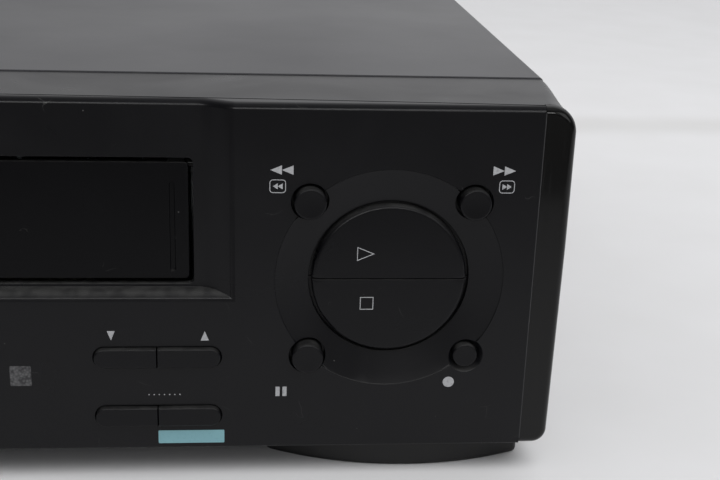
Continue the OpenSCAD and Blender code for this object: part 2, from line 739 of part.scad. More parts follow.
// Two-pole inlet for a figure-eight mains lead
module mains_inlet() color("#161617") difference() {
    union() {
        along_y([rear_y - 20, rear_y + 0.4]) translate([inlet_x, inlet_z]) pad([-12, -7], [12, 7], 1.4);
        along_y([rear_y - 3.5, rear_y - 1.5]) translate([inlet_x, inlet_z])
            pad([-14.5, -9.5], [14.5, 9.5], 1);
        block([inlet_x - 9, inlet_x + 9], [rear_y - 18, rear_y - 8], [board_z + board_t, inlet_z]);
    }
    along_y([rear_y - 12, rear_y + 2]) difference() {
        union() {
            for (s = [-1, 1]) translate([inlet_x + s * inlet_pin_x, inlet_z]) circle(4.1);
            translate([inlet_x - inlet_pin_x, inlet_z - 4.1]) square([2 * inlet_pin_x, 8.2]);
        }
        for (s = [-1, 1]) translate([inlet_x + s * inlet_pin_x, inlet_z]) circle(inlet_pin_r);
    }
}

// Screened tuner box with the two aerial sockets
module tuner_can() color("#b4b7ba") {
    difference() {
        block([tuner_x - tuner_w / 2, tuner_x + tuner_w / 2], [rear_y - 42, rear_y - 2], tuner_z);
        for (x = [-17:8:15]) block(around(tuner_x + x, 1), [rear_y - 36, rear_y - 8], around(tuner_z[1], 1));
    }
    for (x = [-20, 20], y = [-38, -6])
        block(around(tuner_x + x, 1.5), around(rear_y + y, 0.5), [board_z + board_t, tuner_z[0]]);
    for (z = aerial_z) rod_y(tuner_x, z, 6, [rear_y - 2, rear_y + 1]);
    // aerial in: a socket that takes the plug inside it, round a split contact
    tube_y(tuner_x, aerial_z[0], aerial_in_r, [rear_y + 1, rear_y + socket_reach], 0.5);
    tube_y(tuner_x, aerial_z[0], [2.1, 1.2], [rear_y + 1, rear_y + socket_reach - 0.5], 0.5);
    // aerial out: a spigot with a centre pin
    tube_y(tuner_x, aerial_z[1], aerial_out_r, [rear_y + 1, rear_y + socket_reach], 0.5);
    rod_y(tuner_x, aerial_z[1], 1.2, [rear_y + 1, rear_y + socket_reach - 0.5]);
}

// Two wide sockets, each with a row slot on both sides of its tongue
module scart_sockets() color("#202022") for (z = scart_z) difference() {
    union() {
        along_y([rear_y - 12, rear_y + 1]) translate([scart_x, z]) pad([-24.6, -7.4], [24.6, 7.4], 1.3);
        block([scart_x - 27, scart_x + 27], [rear_y - 4, rear_y - 1.6], [z - 9.4, z + 9.4]);
        block([scart_x - 20, scart_x + 20], [rear_y - 11, rear_y - 6], [scart_base[z < 50 ? 0 : 1], z]);
    }
    along_y([rear_y - 9, rear_y + 2]) difference() {
        translate([scart_x, z]) polygon([[-22.5, -5.7], [20, -5.7], [22.5, -3], [22.5, 5.7], [-22.5, 5.7]]);
        translate([scart_x, z]) square(2 * scart_tongue, center = true);
    }
}

module audio_sockets() color("#d8d2c4") {
    block([rca_x[0] - 8, rca_x[1] + 8], [rear_y - 14, rear_y - 1.6], [board_z + board_t, rca_z + 8]);
    for (x = rca_x) difference() {
        union() {
            rod_y(x, rca_z, 4.5, [rear_y - 2, rear_y + 0.5]);
            rod_y(x, rca_z, rca_r, [rear_y + 0.4, rear_y + 8]);
        }
        rod_y(x, rca_z, 1.75, [rear_y - 4, rear_y + 9]);
    }
}

// The tape deck
function guide_dir(s) = [s * sin(guide_angle), cos(guide_angle)];
function guide_at(s, t) = [s * guide_start[0] + t * guide_dir(s)[0], guide_start[1] + t * guide_dir(s)[1]];

module guide_slot(s, half) along_z([deck_z - 2, deck_top + 2]) {
    a = guide_at(s, -0.6);
    b = guide_at(s, guide_run + 0.6);
    n = [cos(guide_angle), -s * sin(guide_angle)] * half;
    polygon([a + n, b + n, b - n, a - n]);
    translate(a) circle(half);
    translate(b) circle(half);
}

module deck_chassis() color("#a9adb0") {
    difference() {
        block([-deck_x, deck_x], deck_y, [deck_z, deck_top]);
        rod_z([0, drum_y], 24, [deck_z - 1, deck_top + 1]);
        rod_z(capstan, 5.05, [deck_z - 1, deck_top + 1]);
        rod_z(pulley, 3.4, [deck_z - 1, deck_top + 1]);
        for (s = [-1, 1]) guide_slot(s, 2.15);
    }
    for (s = [-1, 1], y = leg_y) rod_z([s * leg_x, y], leg_r, [panel_z + gap + sheet_t, deck_z]);
    for (s = [-1, 1]) {
        rod_z([s * reel_x, reel_y], 4, [deck_top, deck_top + 0.8]);
        rod_z([s * reel_x, reel_y], shaft_r, [deck_top, deck_top + 20]);
    }
    rod_z(pinch_pivot, 4, [deck_top, deck_top + 7.6]);
    rod_z(pinch_pivot, 2.5, [deck_top, deck_top + 12]);
    rod_z(cam, 4, [deck_top, gear_z - 0.1]);
    rod_z(cam, 2, [deck_top, gear_z + gear_t + 2]);
    // three legs carry the loading motor
    for (a = [90, 210, 330])
        rod_z(cam + [0, gear_gap] + 10.5 * [cos(a), sin(a)], 1.2, [deck_top, gear_z + gear_t + 1.8]);
}

// One pierced side wall of the carriage, standing on the chassis
module carriage_side() difference() {
    union() {
        block([side_x, side_x + 1.2], [deck_y[0], -6], [deck_top, 82]);
        block([side_x, side_x + 9], [deck_y[0] + 4, deck_y[0] + 16], [deck_top, deck_top + 1.2]);
        block([side_x, side_x + 9], [-22, -8], [deck_top, deck_top + 1.2]);
    }
    half = pin_r + slot_play;
    ends = [pin_y[0] - holder_slide - 0.1, pin_y[1] + 0.1];
    along_x([side_x - 1, side_x + 3]) {
        translate([ends[0], pin_z - half]) square([ends[1] - ends[0], 2 * half]);
        for (y = ends) translate([y, pin_z]) circle(half);
        for (y = pin_y) {
            translate([y - half, pin_z - holder_drop - 0.1]) square([2 * half, holder_drop + 0.1]);
            translate([y, pin_z - holder_drop - 0.1]) circle(half);
        }
    }
    for (y = [-90, -60]) along_x([side_x - 1, side_x + 3]) pad([y - 10, 34], [y + 10, 50], 3);
}

module carriage_side_left() color("#b5b8bb") mirror([1, 0, 0]) carriage_side();

module carriage_side_right() color("#b5b8bb") carriage_side();

// Sliding frame with a tall slot for each holder pin
module loading_slider() color("#c8cacc") {
    half = pin_r + slot_play;
    for (s = [-1, 1]) {
        difference() {
            union() {
                block(around(s * (slider_x + 0.5), 0.5), [-48, -10], [pin_z - holder_drop - 4, pin_z + 5]);
                block(around(s * (slider_x + 0.5), 0.5), stud_y, [pin_z, bridge_z[1]]);
            }
            along_x([-body_w, body_w]) for (y = pin_y) {
                translate([y - half, pin_z - holder_drop]) square([2 * half, holder_drop]);
                for (z = [pin_z - holder_drop - 0.1, pin_z + 0.1]) translate([y, z]) circle(half);
            }
        }
        for (y = stud_y)
            rod_x(y, pin_z, pin_r, s > 0 ? [slider_x + 0.5, side_x + 2] : [-side_x - 2, -slider_x - 0.5]);
    }
    block([-slider_x - 1, slider_x + 1], stud_y, bridge_z);
}

// The open box that takes the cassette
module cassette_holder() color("#d0d2d4") difference() {
    along = [holder_front, stop_y + 2];
    floor_z = bay_z - 1.2;
    roof_z = bay_z + cassette_h + 1.2;
    union() {
        block([-holder_x - 1, holder_x + 1], along, [roof_z - 0.8, roof_z]);
        for (s = [-1, 1]) {
            block(around(s * (holder_x + 0.5), 0.5), along, [floor_z, roof_z]);
            block(around(s * (holder_x - 6.5), 7.5), [along[0] - 20, along[1]], [floor_z, floor_z + 1]);
            block(around(s * (holder_x - 1), 2), [along[1] - 1.5, along[1]], [floor_z, bay_z + 10]);
            for (y = pin_y)
                rod_x(y, pin_z, pin_r, s > 0 ? [holder_x + 0.5, side_x + 3] : [-side_x - 3, -holder_x - 0.5]);
        }
    }
    along_z([bay_z + 20, bay_z + 40]) for (x = [-60, 60])
        pad([x - 22, holder_front + 8], [x + 22, stop_y - 6], 3);
}

module drum_frame() translate([0, drum_y, drum_z]) rotate([0, drum_tilt, 0]) children();

// Fixed lower drum on its tilted base
module lower_drum() color("#c3c6c9") difference() {
    union() {
        tube_z([0, drum_y], 29, 24.6, [deck_top, deck_top + 6]);
        drum_frame() cylinder(r = drum_r, h = 15);
    }
    drum_frame() translate([0, 0, -1]) cylinder(r = 3.1, h = 20);
    drum_frame() translate([0, 0, -8]) cylinder(r = 22.5, h = 12);
    drum_frame() difference() {
        translate([0, 0, 13]) cylinder(r = drum_r + 1, h = 0.8);
        translate([0, 0, 12]) cylinder(r = drum_r - 0.3, h = 3);
    }
}

// Spinning upper drum with its shaft and the flat motor rotor under the lower drum
module upper_drum() color("#dcdee0") drum_frame() {
    difference() {
        translate([0, 0, 15.4]) cylinder(r = drum_r, h = 14);
        for (a = [0, 180]) rotate(a) translate([drum_r - 3, -2.5, 15]) cube([5, 5, 2.4]);
        translate([0, 0, 25]) difference() {
            cylinder(r = 26, h = 6);
            cylinder(r = 12, h = 6);
        }
    }
    translate([0, 0, -3.4]) cylinder(r = 3, h = 20);
    translate([0, 0, -3.4]) cylinder(r = 19, h = 5);
}

module capstan_housing() color("#8c8f92") {
    tube_z(capstan, 5, shaft_r + pin_fit, [deck_z - 0.2, deck_top + 7]);
    difference() {
        tube_z(capstan, 7.6, 4.9, [deck_top, deck_top + 1.4]);
        for (a = [45:90:315]) rod_z(capstan + 6.3 * [cos(a), sin(a)], 0.7, [deck_top - 1, deck_top + 3]);
    }
}

module capstan_flywheel() color("#7d8184") {
    difference() {
        rod_z(capstan, flywheel_r, [flywheel_z, flywheel_z + flywheel_t]);
        tube_z(capstan, 23, 10, [flywheel_z - 1, flywheel_z + 1.5]);
    }
    rod_z(capstan, capstan_pulley_r, [flywheel_z + flywheel_t, belt_z + belt_t + 0.2]);
    rod_z(capstan, shaft_r, [flywheel_z, 54]);
}

module centre_pulley() color("#2d2d30") {
    rod_z(pulley, pulley_r, [belt_z, belt_z + belt_t]);
    rod_z(pulley, 3.3, [belt_z, deck_top + 0.8]);
    rod_z(pulley, clutch_r, [deck_top + 0.6, deck_top + 3]);
    rod_z(pulley, shaft_r, [deck_top, deck_top + 10]);
}

// Flat outline of a belt that wraps two pulleys, grown by a margin
module belt_outline(grow) {
    r1 = capstan_pulley_r + grow;
    r2 = pulley_r + grow;
    d = norm(capstan - pulley);
    lean = asin((r2 - r1) / d);
    way = atan2(pulley[1] - capstan[1], pulley[0] - capstan[0]);
    translate(capstan) circle(r1);
    translate(pulley) circle(r2);
    polygon([
        capstan + turned([r1, 0], way + 90 + lean), capstan + turned([r1, 0], way - 90 - lean),
        pulley + turned([r2, 0], way - 90 - lean), pulley + turned([r2, 0], way + 90 + lean)
    ]);
}

module drive_belt() color("#101010") along_z([belt_z + 0.1, belt_z + belt_t - 0.1]) difference() {
    belt_outline(1.5);
    belt_outline(0.1);
}

// Arm that swings the rubber wheel to one reel or the other
module idler_arm() color("#3a3a3c") {
    difference() {
        union() {
            tube_z(pulley, 5, shaft_r + pin_fit, [deck_top + 3.2, deck_top + 6]);
            block([-3, 3], [idler[1], pulley[1] - 2], [deck_top + 4.4, deck_top + 6]);
            rod_z(idler, 4, [deck_top + 4.4, deck_top + 6]);
        }
        rod_z(pulley, shaft_r + pin_fit, [0, 60]);
    }
    rod_z(idler, shaft_r, [deck_top + 0.6, deck_top + 5]);
}

module idler_wheel() color("#1a1a1a") tube_z(idler, idler_r, shaft_r + pin_fit, [deck_top + 1, deck_top + 4]);

// A reel table with its splined spindle
module reel(x) difference() {
    union() {
        rod_z([x, reel_y], reel_r, [deck_top + 1, deck_top + 4]);
        rod_z([x, reel_y], 12.5, [deck_top + 4, deck_top + 6]);
        rod_z([x, reel_y], 7, [deck_top + 6, deck_top + 18]);
        for (a = [0:120:240]) translate([x, reel_y, deck_top + 6]) rotate(a) block([6, 9.4], [-1, 1], [0, 9]);
    }
    rod_z([x, reel_y], shaft_r + pin_fit, [0, 100]);
}

module supply_reel() color("#e4e2da") reel(-reel_x);

module take_up_reel() color("#e4e2da") reel(reel_x);

// At rest the arm stands open by pinch_open degrees from the capstan
module at_pinch_rest() translate(pinch_pivot) rotate(pinch_open) translate(-pinch_pivot) children();

module pinch_arm() color("#6d7073") at_pinch_rest() {
    difference() {
        union() {
            rod_z(pinch_pivot, 6, [deck_top + 7.8, deck_top + 10.4]);
            rod_z(pinch_axis, 4.2, [deck_top + 7.8, deck_top + 10.4]);
            along_z([deck_top + 7.8, deck_top + 10.4]) {
                n = turned((pinch_axis - pinch_pivot) / norm(pinch_axis - pinch_pivot), 90) * 3.6;
                polygon([pinch_pivot + n, pinch_axis + n, pinch_axis - n, pinch_pivot - n]);
            }
        }
        rod_z(pinch_pivot, 2.5 + pin_fit, [0, 60]);
    }
    rod_z(pinch_axis, shaft_r, [deck_top + 8, deck_top + 27]);
    rod_z(pinch_axis, 2.4, [deck_top + 25.6, deck_top + 27]);
}

module pinch_roller() color("#191919") at_pinch_rest()
    tube_z(pinch_axis, roller_r, shaft_r + pin_fit, [deck_top + 11, deck_top + 25]);

// A tape guide: a sled in its slot that carries an upright roller post
module tape_guide(s) {
    p = guide_at(s, 0);
    rod_z(p, 2, [deck_z + 0.1, deck_top + 0.5]);
    rod_z(p, 6, [deck_top + 0.2, deck_top + 3]);
    rod_z(p, 1.6, [deck_top + 2, guide_top]);
    rod_z(p, 3.2, [deck_top + 5, guide_top - 4]);
    rod_z(p, 4, [guide_top - 4, guide_top - 2]);
}

module tape_guide_left() color("#c6c9cc") tape_guide(-1);

module tape_guide_right() color("#c6c9cc") tape_guide(1);

module loading_motor() color("#b0b3b6") {
    p = cam + [0, gear_gap];
    z = gear_z + gear_t + 1.8;
    difference() {
        rod_z(p, 12, [z, z + 22]);
        rod_z(p, shaft_r + pin_fit, [z - 1, z + 2]);
    }
    rod_z(p, 4, [z + 22, z + 23.6]);
}

module motor_pinion() color("#e6dcc2") {
    p = cam + [0, gear_gap];
    translate(p) rotate(-90 + 180 / pinion_teeth) along_z([gear_z, gear_z + gear_t])
        gear_outline(pinion_teeth);
    rod_z(p, shaft_r, [gear_z, gear_z + gear_t + 3]);
}

module cam_gear() color("#e6dcc2") difference() {
    union() {
        translate(cam) rotate(90) along_z([gear_z, gear_z + gear_t]) gear_outline(cam_teeth);
        rod_z(cam, 5, [gear_z, gear_z + gear_t + 1.4]);
    }
    rod_z(cam, 2 + pin_fit, [0, 60]);
    tube_z(cam, 17, 14.5, [gear_z + 2, gear_z + gear_t + 1]);
}

// The upright sound and control head and the erase head beside the tape path
module tape_heads() color("#9fa3a6") {
    for (p = head_places) {
        rod_z(p, 3, [deck_top, deck_top + 10]);
        block([p[0] - 5, p[0] + 5], [p[1] - 4, p[1] + 4], [deck_top + 10, deck_top + 12]);
        block([p[0] - 3.5, p[0] + 3.5], [p[1] - 3, p[1] + 3], [deck_top + 12, deck_top + 27]);
    }
}

top_cover();
bottom_pan();
rear_panel();
front_bezel();
end_cap_right();
end_cap_left();
front_foot_right();
front_foot_left();
rear_feet();
cover_screws();
cassette_door();
door_spring();
play_button();
stop_button();
rewind_button();
fast_forward_button();
pause_button();
record_button();
channel_down_button();
channel_up_button();
menu_button();
set_button();
power_button();
eject_button();
display_window();
display_tube();
remote_window();
front_board();
tact_switches();
main_board();
board_parts();
power_board();
power_parts();
mains_inlet();
tuner_can();
scart_sockets();
audio_sockets();
deck_chassis();
carriage_side_left();
carriage_side_right();
loading_slider();
cassette_holder();
lower_drum();
upper_drum();
capstan_housing();
capstan_flywheel();
centre_pulley();
drive_belt();
idler_arm();
idler_wheel();
supply_reel();
take_up_reel();
pinch_arm();
pinch_roller();
tape_guide_left();
tape_guide_right();
loading_motor();
motor_pinion();
cam_gear();
tape_heads();
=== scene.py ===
"""Looks for a front-loading video cassette recorder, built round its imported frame.

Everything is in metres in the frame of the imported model: X runs along the front, Y from the front
panel to the rear and Z up. Sizes are written in millimetres and scaled once, when a mesh is made.
"""

from __future__ import annotations

import json
import logging
import math
from dataclasses import dataclass, field
from enum import Enum
from functools import reduce

import bmesh
import bpy
import numpy as np
from mathutils import Matrix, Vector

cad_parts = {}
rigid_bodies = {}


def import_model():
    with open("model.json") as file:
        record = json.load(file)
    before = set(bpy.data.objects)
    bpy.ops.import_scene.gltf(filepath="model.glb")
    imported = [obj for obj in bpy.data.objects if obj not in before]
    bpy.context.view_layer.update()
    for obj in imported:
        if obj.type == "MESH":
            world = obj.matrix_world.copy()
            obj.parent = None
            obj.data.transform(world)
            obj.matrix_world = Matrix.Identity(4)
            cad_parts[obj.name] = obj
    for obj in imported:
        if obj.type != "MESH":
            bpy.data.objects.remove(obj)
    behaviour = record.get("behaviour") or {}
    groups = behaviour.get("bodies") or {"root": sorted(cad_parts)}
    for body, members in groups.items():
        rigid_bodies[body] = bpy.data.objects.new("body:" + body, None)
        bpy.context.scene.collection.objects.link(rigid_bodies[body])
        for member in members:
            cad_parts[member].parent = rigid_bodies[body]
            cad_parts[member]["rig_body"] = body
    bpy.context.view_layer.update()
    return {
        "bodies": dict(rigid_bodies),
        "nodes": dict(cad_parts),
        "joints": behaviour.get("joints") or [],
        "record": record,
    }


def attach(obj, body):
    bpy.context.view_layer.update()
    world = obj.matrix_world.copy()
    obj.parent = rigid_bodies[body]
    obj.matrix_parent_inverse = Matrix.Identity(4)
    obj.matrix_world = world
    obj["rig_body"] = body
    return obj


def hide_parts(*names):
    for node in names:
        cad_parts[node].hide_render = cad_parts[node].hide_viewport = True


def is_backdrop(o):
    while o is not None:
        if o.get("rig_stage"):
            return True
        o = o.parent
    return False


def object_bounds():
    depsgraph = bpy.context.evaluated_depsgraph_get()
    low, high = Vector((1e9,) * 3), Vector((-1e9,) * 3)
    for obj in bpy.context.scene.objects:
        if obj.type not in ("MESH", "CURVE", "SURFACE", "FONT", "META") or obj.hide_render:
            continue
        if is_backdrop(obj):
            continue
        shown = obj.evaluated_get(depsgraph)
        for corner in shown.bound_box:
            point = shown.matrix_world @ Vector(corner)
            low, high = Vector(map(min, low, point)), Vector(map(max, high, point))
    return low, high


LOG = logging.getLogger("recorder")
MM = 0.001
FACE_Y = -148.0
REAR_Y = 141.5
DIAL_X, DIAL_Z = 146.6, 52.4
DIAL_FACE_Y = FACE_Y + 0.9
# how far ink, the label's film and paper stand out of the plastic
INK_T, LABEL_T, PAPER_T = 0.04, 0.06, 0.05
# points closer than this, in metres, are one point
MERGE_M = 2e-6
# faces that turn by less than FLAT are joined; edges that turn by more than SHARP are rounded
FLAT, SHARP = math.radians(0.1), math.radians(30)
Faces = list[list[int]]
Pair = tuple[float, float]
Triple = tuple[float, float, float]
Socket = bpy.types.NodeSocket


# Colour and nodes


def linear(code: str) -> tuple[float, float, float, float]:
    """Turn an sRGB hex colour into the linear values that Blender wants.

    Args:
        code: six hex digits, such as "1e1e20".

    Returns:
        Linear red, green, blue and an alpha of 1.
    """
    srgb = np.array([int(code[i : i + 2], 16) for i in (0, 2, 4)]) / 255.0
    low, high = srgb / 12.92, ((srgb + 0.055) / 1.055) ** 2.4
    red, green, blue = np.where(srgb <= 0.04045, low, high)
    return float(red), float(green), float(blue), 1.0


def add(tree: bpy.types.NodeTree, kind: str, inputs: dict, **settings) -> bpy.types.Node:
    """Add one node with its settings, values and links.

    Args:
        tree: the node tree.
        kind: Blender's name of the node type.
        inputs: socket name or index to a value, or to the output socket it is linked to.
        settings: attributes of the node.

    Returns:
        The node.
    """
    node = tree.nodes.new(kind)
    for key, value in settings.items():
        setattr(node, key, value)
    for key, value in inputs.items():
        if isinstance(value, bpy.types.NodeSocket):
            tree.links.new(value, node.inputs[key])
        else:
            node.inputs[key].default_value = value
    return node


def per_metre(size_mm: float) -> float:
    """Return the texture scale whose features are size_mm apart on Object coordinates."""
    return 1000.0 / size_mm


@dataclass
class Net:
    """A material's nodes, with one short method for each kind that comes back often."""

    tree: bpy.types.NodeTree

    def place(self) -> Socket:
        """Object coordinates, in metres."""
        return add(self.tree, "ShaderNodeTexCoord", {}).outputs["Object"]

    def axis(self, vector: Socket, index: int) -> Socket:
        """One part of a vector: 0 for X, 1 for Y, 2 for Z."""
        return add(self.tree, "ShaderNodeSeparateXYZ", {0: vector}).outputs[index]

    def noise(self, vector: Socket, size_mm: float, detail: float, **more: float) -> Socket:
        """Noise with features of that size."""
        inputs = {"Vector": vector, "Scale": per_metre(size_mm), "Detail": detail, **more}
        return add(self.tree, "ShaderNodeTexNoise", inputs).outputs[0]

    def cells(self, vector: Socket, size_mm: float, feature: str = "F1") -> Socket:
        """Distance to the nearest seed, or to the nearest edge, of cells of that size."""
        inputs = {"Vector": vector, "Scale": per_metre(size_mm)}
        return add(self.tree, "ShaderNodeTexVoronoi", inputs, feature=feature).outputs["Distance"]

    def ramp(
        self, value: Socket, start: float, end: float, low: float = 0.0, high: float = 1.0, **kind: str
    ) -> Socket:
        """Go from low to high as the value goes from start to end."""
        inputs = {0: value, 1: start, 2: end, 3: low, 4: high}
        return add(self.tree, "ShaderNodeMapRange", inputs, **kind).outputs[0]

    def math(self, operation: str, first: Socket, second: Socket | float = 0.0) -> Socket:
        """Join two values by one operation."""
        return add(self.tree, "ShaderNodeMath", {0: first, 1: second}, operation=operation).outputs[0]

    def scaled(self, vector: Socket | tuple[float, ...], scale: Socket | float) -> Socket:
        """Multiply a vector or a colour by a value."""
        inputs = {0: vector, "Scale": scale}
        return add(self.tree, "ShaderNodeVectorMath", inputs, operation="SCALE").outputs[0]

    def stretched(self, vector: Socket, scale: Triple, turn: Triple = (0.0, 0.0, 0.0)) -> Socket:
        """Scale and turn the coordinates, so that a pattern is drawn out along one way."""
        inputs = {"Vector": vector, "Rotation": turn, "Scale": scale}
        return add(self.tree, "ShaderNodeMapping", inputs).outputs[0]

    def shifted(self, vector: Socket, by: Socket) -> Socket:
        """Move coordinates by a vector."""
        return add(self.tree, "ShaderNodeVectorMath", {0: vector, 1: by}, operation="ADD").outputs[0]

    def mix(self, share: Socket, first: Socket | str, second: Socket | str) -> Socket:
        """Mix two colours, given as sockets or as hex codes."""
        ends = [linear(end) if isinstance(end, str) else end for end in (first, second)]
        inputs = {0: share, 6: ends[0], 7: ends[1]}
        return add(self.tree, "ShaderNodeMix", inputs, data_type="RGBA").outputs[2]

    def bump(self, height: Socket, depth_mm: float, strength: float = 1.0) -> Socket:
        """Turn a height into a normal."""
        inputs = {"Height": height, "Distance": depth_mm * MM, "Strength": strength}
        return add(self.tree, "ShaderNodeBump", inputs).outputs[0]

    def principled(self, colour: Socket | tuple[float, ...], **inputs: Socket | float) -> Socket:
        """The shader; a socket of two words is written with an underscore."""
        named = {key.replace("_", " "): value for key, value in inputs.items()}
        return add(self.tree, "ShaderNodeBsdfPrincipled", {"Base Color": colour, **named}).outputs[0]


def new_material(name: str) -> tuple[bpy.types.Material, bpy.types.NodeTree]:
    """Return an empty node material and its tree."""
    material = bpy.data.materials.new(name)
    material.use_nodes = True
    material.node_tree.nodes.clear()
    return material, material.node_tree


# Finishes


@dataclass(frozen=True)
class Finish:
    """A surface finish. Equal finishes share one material."""

    name: str

    def material(self) -> bpy.types.Material:
        """Return this finish's material, making it the first time."""
        found = bpy.data.materials.get(self.name)
        if found is not None:
            return found
        material, tree = new_material(self.name)
        add(tree, "ShaderNodeOutputMaterial", {"Surface": self.shader(Net(tree))})
        return material

    def shader(self, net: Net) -> Socket:
        """Build the nodes and return the shader's output."""
        raise NotImplementedError


@dataclass(frozen=True)
class MouldedPlastic(Finish):
    """Injection-moulded ABS. The spark-eroded mould leaves a fine even grain that spreads highlights.

    Dust and lint lie on it as pale specks and short threads, and handling leaves faint smears. Faces that
    look up, below the top, are lightened towards the dust colour: a painted highlight for the light from
    above.
    """

    colour: str = "1a1a1c"
    roughness: float = 0.3
    specular: float = 0.5
    # the real grain is about 0.1 mm; it is drawn at 0.35 mm so that it shows
    grain_mm: float = 0.35
    grain_depth_mm: float = 0.005
    smear: float = 0.04
    dust: float = 0.35
    dust_and_top_light_colour: str = "8f8f8c"
    # painted highlight: share of the dust colour laid on faces that look up, for the light from above; it
    # fades out between the two heights below, so the top stays clear
    painted_top_light: float = 0.0
    top_light_fade_z: Pair = (88.0, 91.0)

    def shader(self, net: Net) -> Socket:
        """Grain in the bump, smears in the roughness, dust, lint and a painted highlight on upward faces in
        the colour.
        """
        place = net.place()
        grain = net.noise(place, self.grain_mm, 2.0)
        bump = net.bump(grain, self.grain_depth_mm)
        smears = net.noise(place, 38, 4.0, Distortion=1.2)
        rough = net.ramp(smears, 0.3, 0.7, self.roughness - self.smear, self.roughness + self.smear)
        base = net.scaled(linear(self.colour)[:3], net.ramp(smears, 0.3, 0.7, 0.9, 1.12))
        # specks of dust about a quarter of a millimetre wide, in patches
        speck = net.ramp(net.cells(place, 5.5), 0.016, 0.034, 1.0, 0.0)
        dusty = net.ramp(net.noise(place, 16, 1.0), 0.4, 0.56)
        specks = net.math("MULTIPLY", speck, dusty)
        # lint: short stretches of a wandering cell edge
        bent = add(net.tree, "ShaderNodeTexNoise", {"Vector": place, "Scale": per_metre(3.0), "Detail": 1.0})
        wander = net.shifted(place, net.scaled(bent.outputs["Color"], 0.0035))
        thread = net.ramp(net.cells(wander, 11, "DISTANCE_TO_EDGE"), 0.001, 0.004, 0.4, 0.0)
        here = net.ramp(net.noise(place, 6.5, 0.0), 0.72, 0.76)
        threads = net.math("MULTIPLY", thread, here)
        loose = net.math("MULTIPLY", net.math("MAXIMUM", specks, threads), self.dust)
        # painted highlight: the dust colour on what looks up, in an uneven film, standing in for the light
        # from above
        upward = net.axis(add(net.tree, "ShaderNodeTexCoord", {}).outputs["Normal"], 2)
        top_light_share = net.ramp(upward, 0.35, 0.85, 0.0, self.painted_top_light)
        low = net.ramp(net.axis(place, 2), self.top_light_fade_z[0] * MM, self.top_light_fade_z[1] * MM, 1.0, 0.0)
        uneven = net.ramp(bent.outputs[0], 0.35, 0.6, 0.55, 1.0)
        layer = net.math("MULTIPLY", net.math("MULTIPLY", top_light_share, low), uneven)
        dust_and_top_light = net.math("MAXIMUM", loose, layer)
        return net.principled(
            net.mix(dust_and_top_light, base, self.dust_and_top_light_colour),
            Roughness=rough,
            Specular_IOR_Level=self.specular,
            IOR=1.5,
            Normal=bump,
        )


@dataclass(frozen=True)
class GlossPlastic(Finish):
    """Polished ABS or acrylic. It mirrors the room sharply, a little bent by the flow of the moulding."""

    colour: str = "090909"
    roughness: float = 0.1
    specular: float = 0.3
    ripple_mm: float = 18.0
    ripple_depth_mm: float = 0.01
    # hairline scratches run along one slanting way
    hair_scale: Triple = (1.0, 1.0, 0.03)
    hair_turn: Triple = (0.4, 0.5, 0.3)

    def shader(self, net: Net) -> Socket:
        """Long ripples in the bump and hairline scratches in the roughness."""
        place = net.place()
        bump = net.bump(net.noise(place, self.ripple_mm, 0.0), self.ripple_depth_mm)
        stretched = net.stretched(place, self.hair_scale, self.hair_turn)
        hairs = net.noise(stretched, 0.4, 1.0)
        return net.principled(
            linear(self.colour),
            Roughness=net.ramp(hairs, 0.62, 0.7, self.roughness, self.roughness + 0.15),
            Specular_IOR_Level=self.specular,
            IOR=1.5,
            Normal=bump,
        )


@dataclass(frozen=True)
class BakedEnamel(Finish):
    """Baked satin enamel on steel sheet: a slight orange peel, paler when seen at a low angle."""

    colour: str = "303033"
    roughness: float = 0.36
    # orange peel is about 0.8 mm between crests
    peel_mm: float = 0.8
    peel_depth_mm: float = 0.006

    def shader(self, net: Net) -> Socket:
        """Orange peel and grit in the bump, cloudy roughness, a few specks of dust."""
        place = net.place()
        cloud = net.noise(place, 70, 5.0)
        speck = net.ramp(net.cells(place, 9), 0.01, 0.022, 0.35, 0.0)
        return net.principled(
            net.mix(speck, self.colour, "9a9a98"),
            Roughness=net.ramp(cloud, 0.3, 0.7, self.roughness - 0.03, self.roughness + 0.05),
            IOR=1.5,
            Normal=net.bump(net.noise(place, self.peel_mm, 3.0), self.peel_depth_mm),
        )


@dataclass(frozen=True)
class Metal(Finish):
    """Bare or plated metal. Rolling, drawing or turning leaves fine lines along one way."""

    colour: str = "b9bcc0"
    roughness: float = 0.3
    # how far the lines are drawn out along X, Y and Z; 1 is across them
    lines: Triple = (0.04, 1.0, 1.0)
    line_mm: float = 0.5
    depth_mm: float = 0.004
    tarnish: float = 0.25

    def shader(self, net: Net) -> Socket:
        """Lines in bump and roughness over a cloudy tarnish."""
        place = net.place()
        lines = net.noise(net.stretched(place, self.lines), self.line_mm, 3.0)
        dull = net.ramp(net.noise(place, 14, 4.0), 0.35, 0.75, 0.0, self.tarnish)
        return net.principled(
            net.mix(dull, self.colour, "5d5a54"),
            Metallic=1.0,
            Roughness=net.ramp(lines, 0.3, 0.7, self.roughness - 0.06, self.roughness + 0.08),
            Normal=net.bump(lines, self.depth_mm),
        )


@dataclass(frozen=True)
class MouldedRubber(Finish):
    """Moulded rubber: matt, with a powdery bloom that lightens it in clouds."""

    colour: str = "161616"
    roughness: float = 0.8

    def shader(self, net: Net) -> Socket:
        """Bloom in the colour and a fine pitted bump."""
        place = net.place()
        bloom = net.ramp(net.noise(place, 7, 5.0), 0.4, 0.8, 0.0, 0.3)
        return net.principled(
            net.mix(bloom, self.colour, "4a4947"),
            Roughness=self.roughness,
            IOR=1.52,
            Normal=net.bump(net.noise(place, 0.5, 3.0), 0.02),
        )


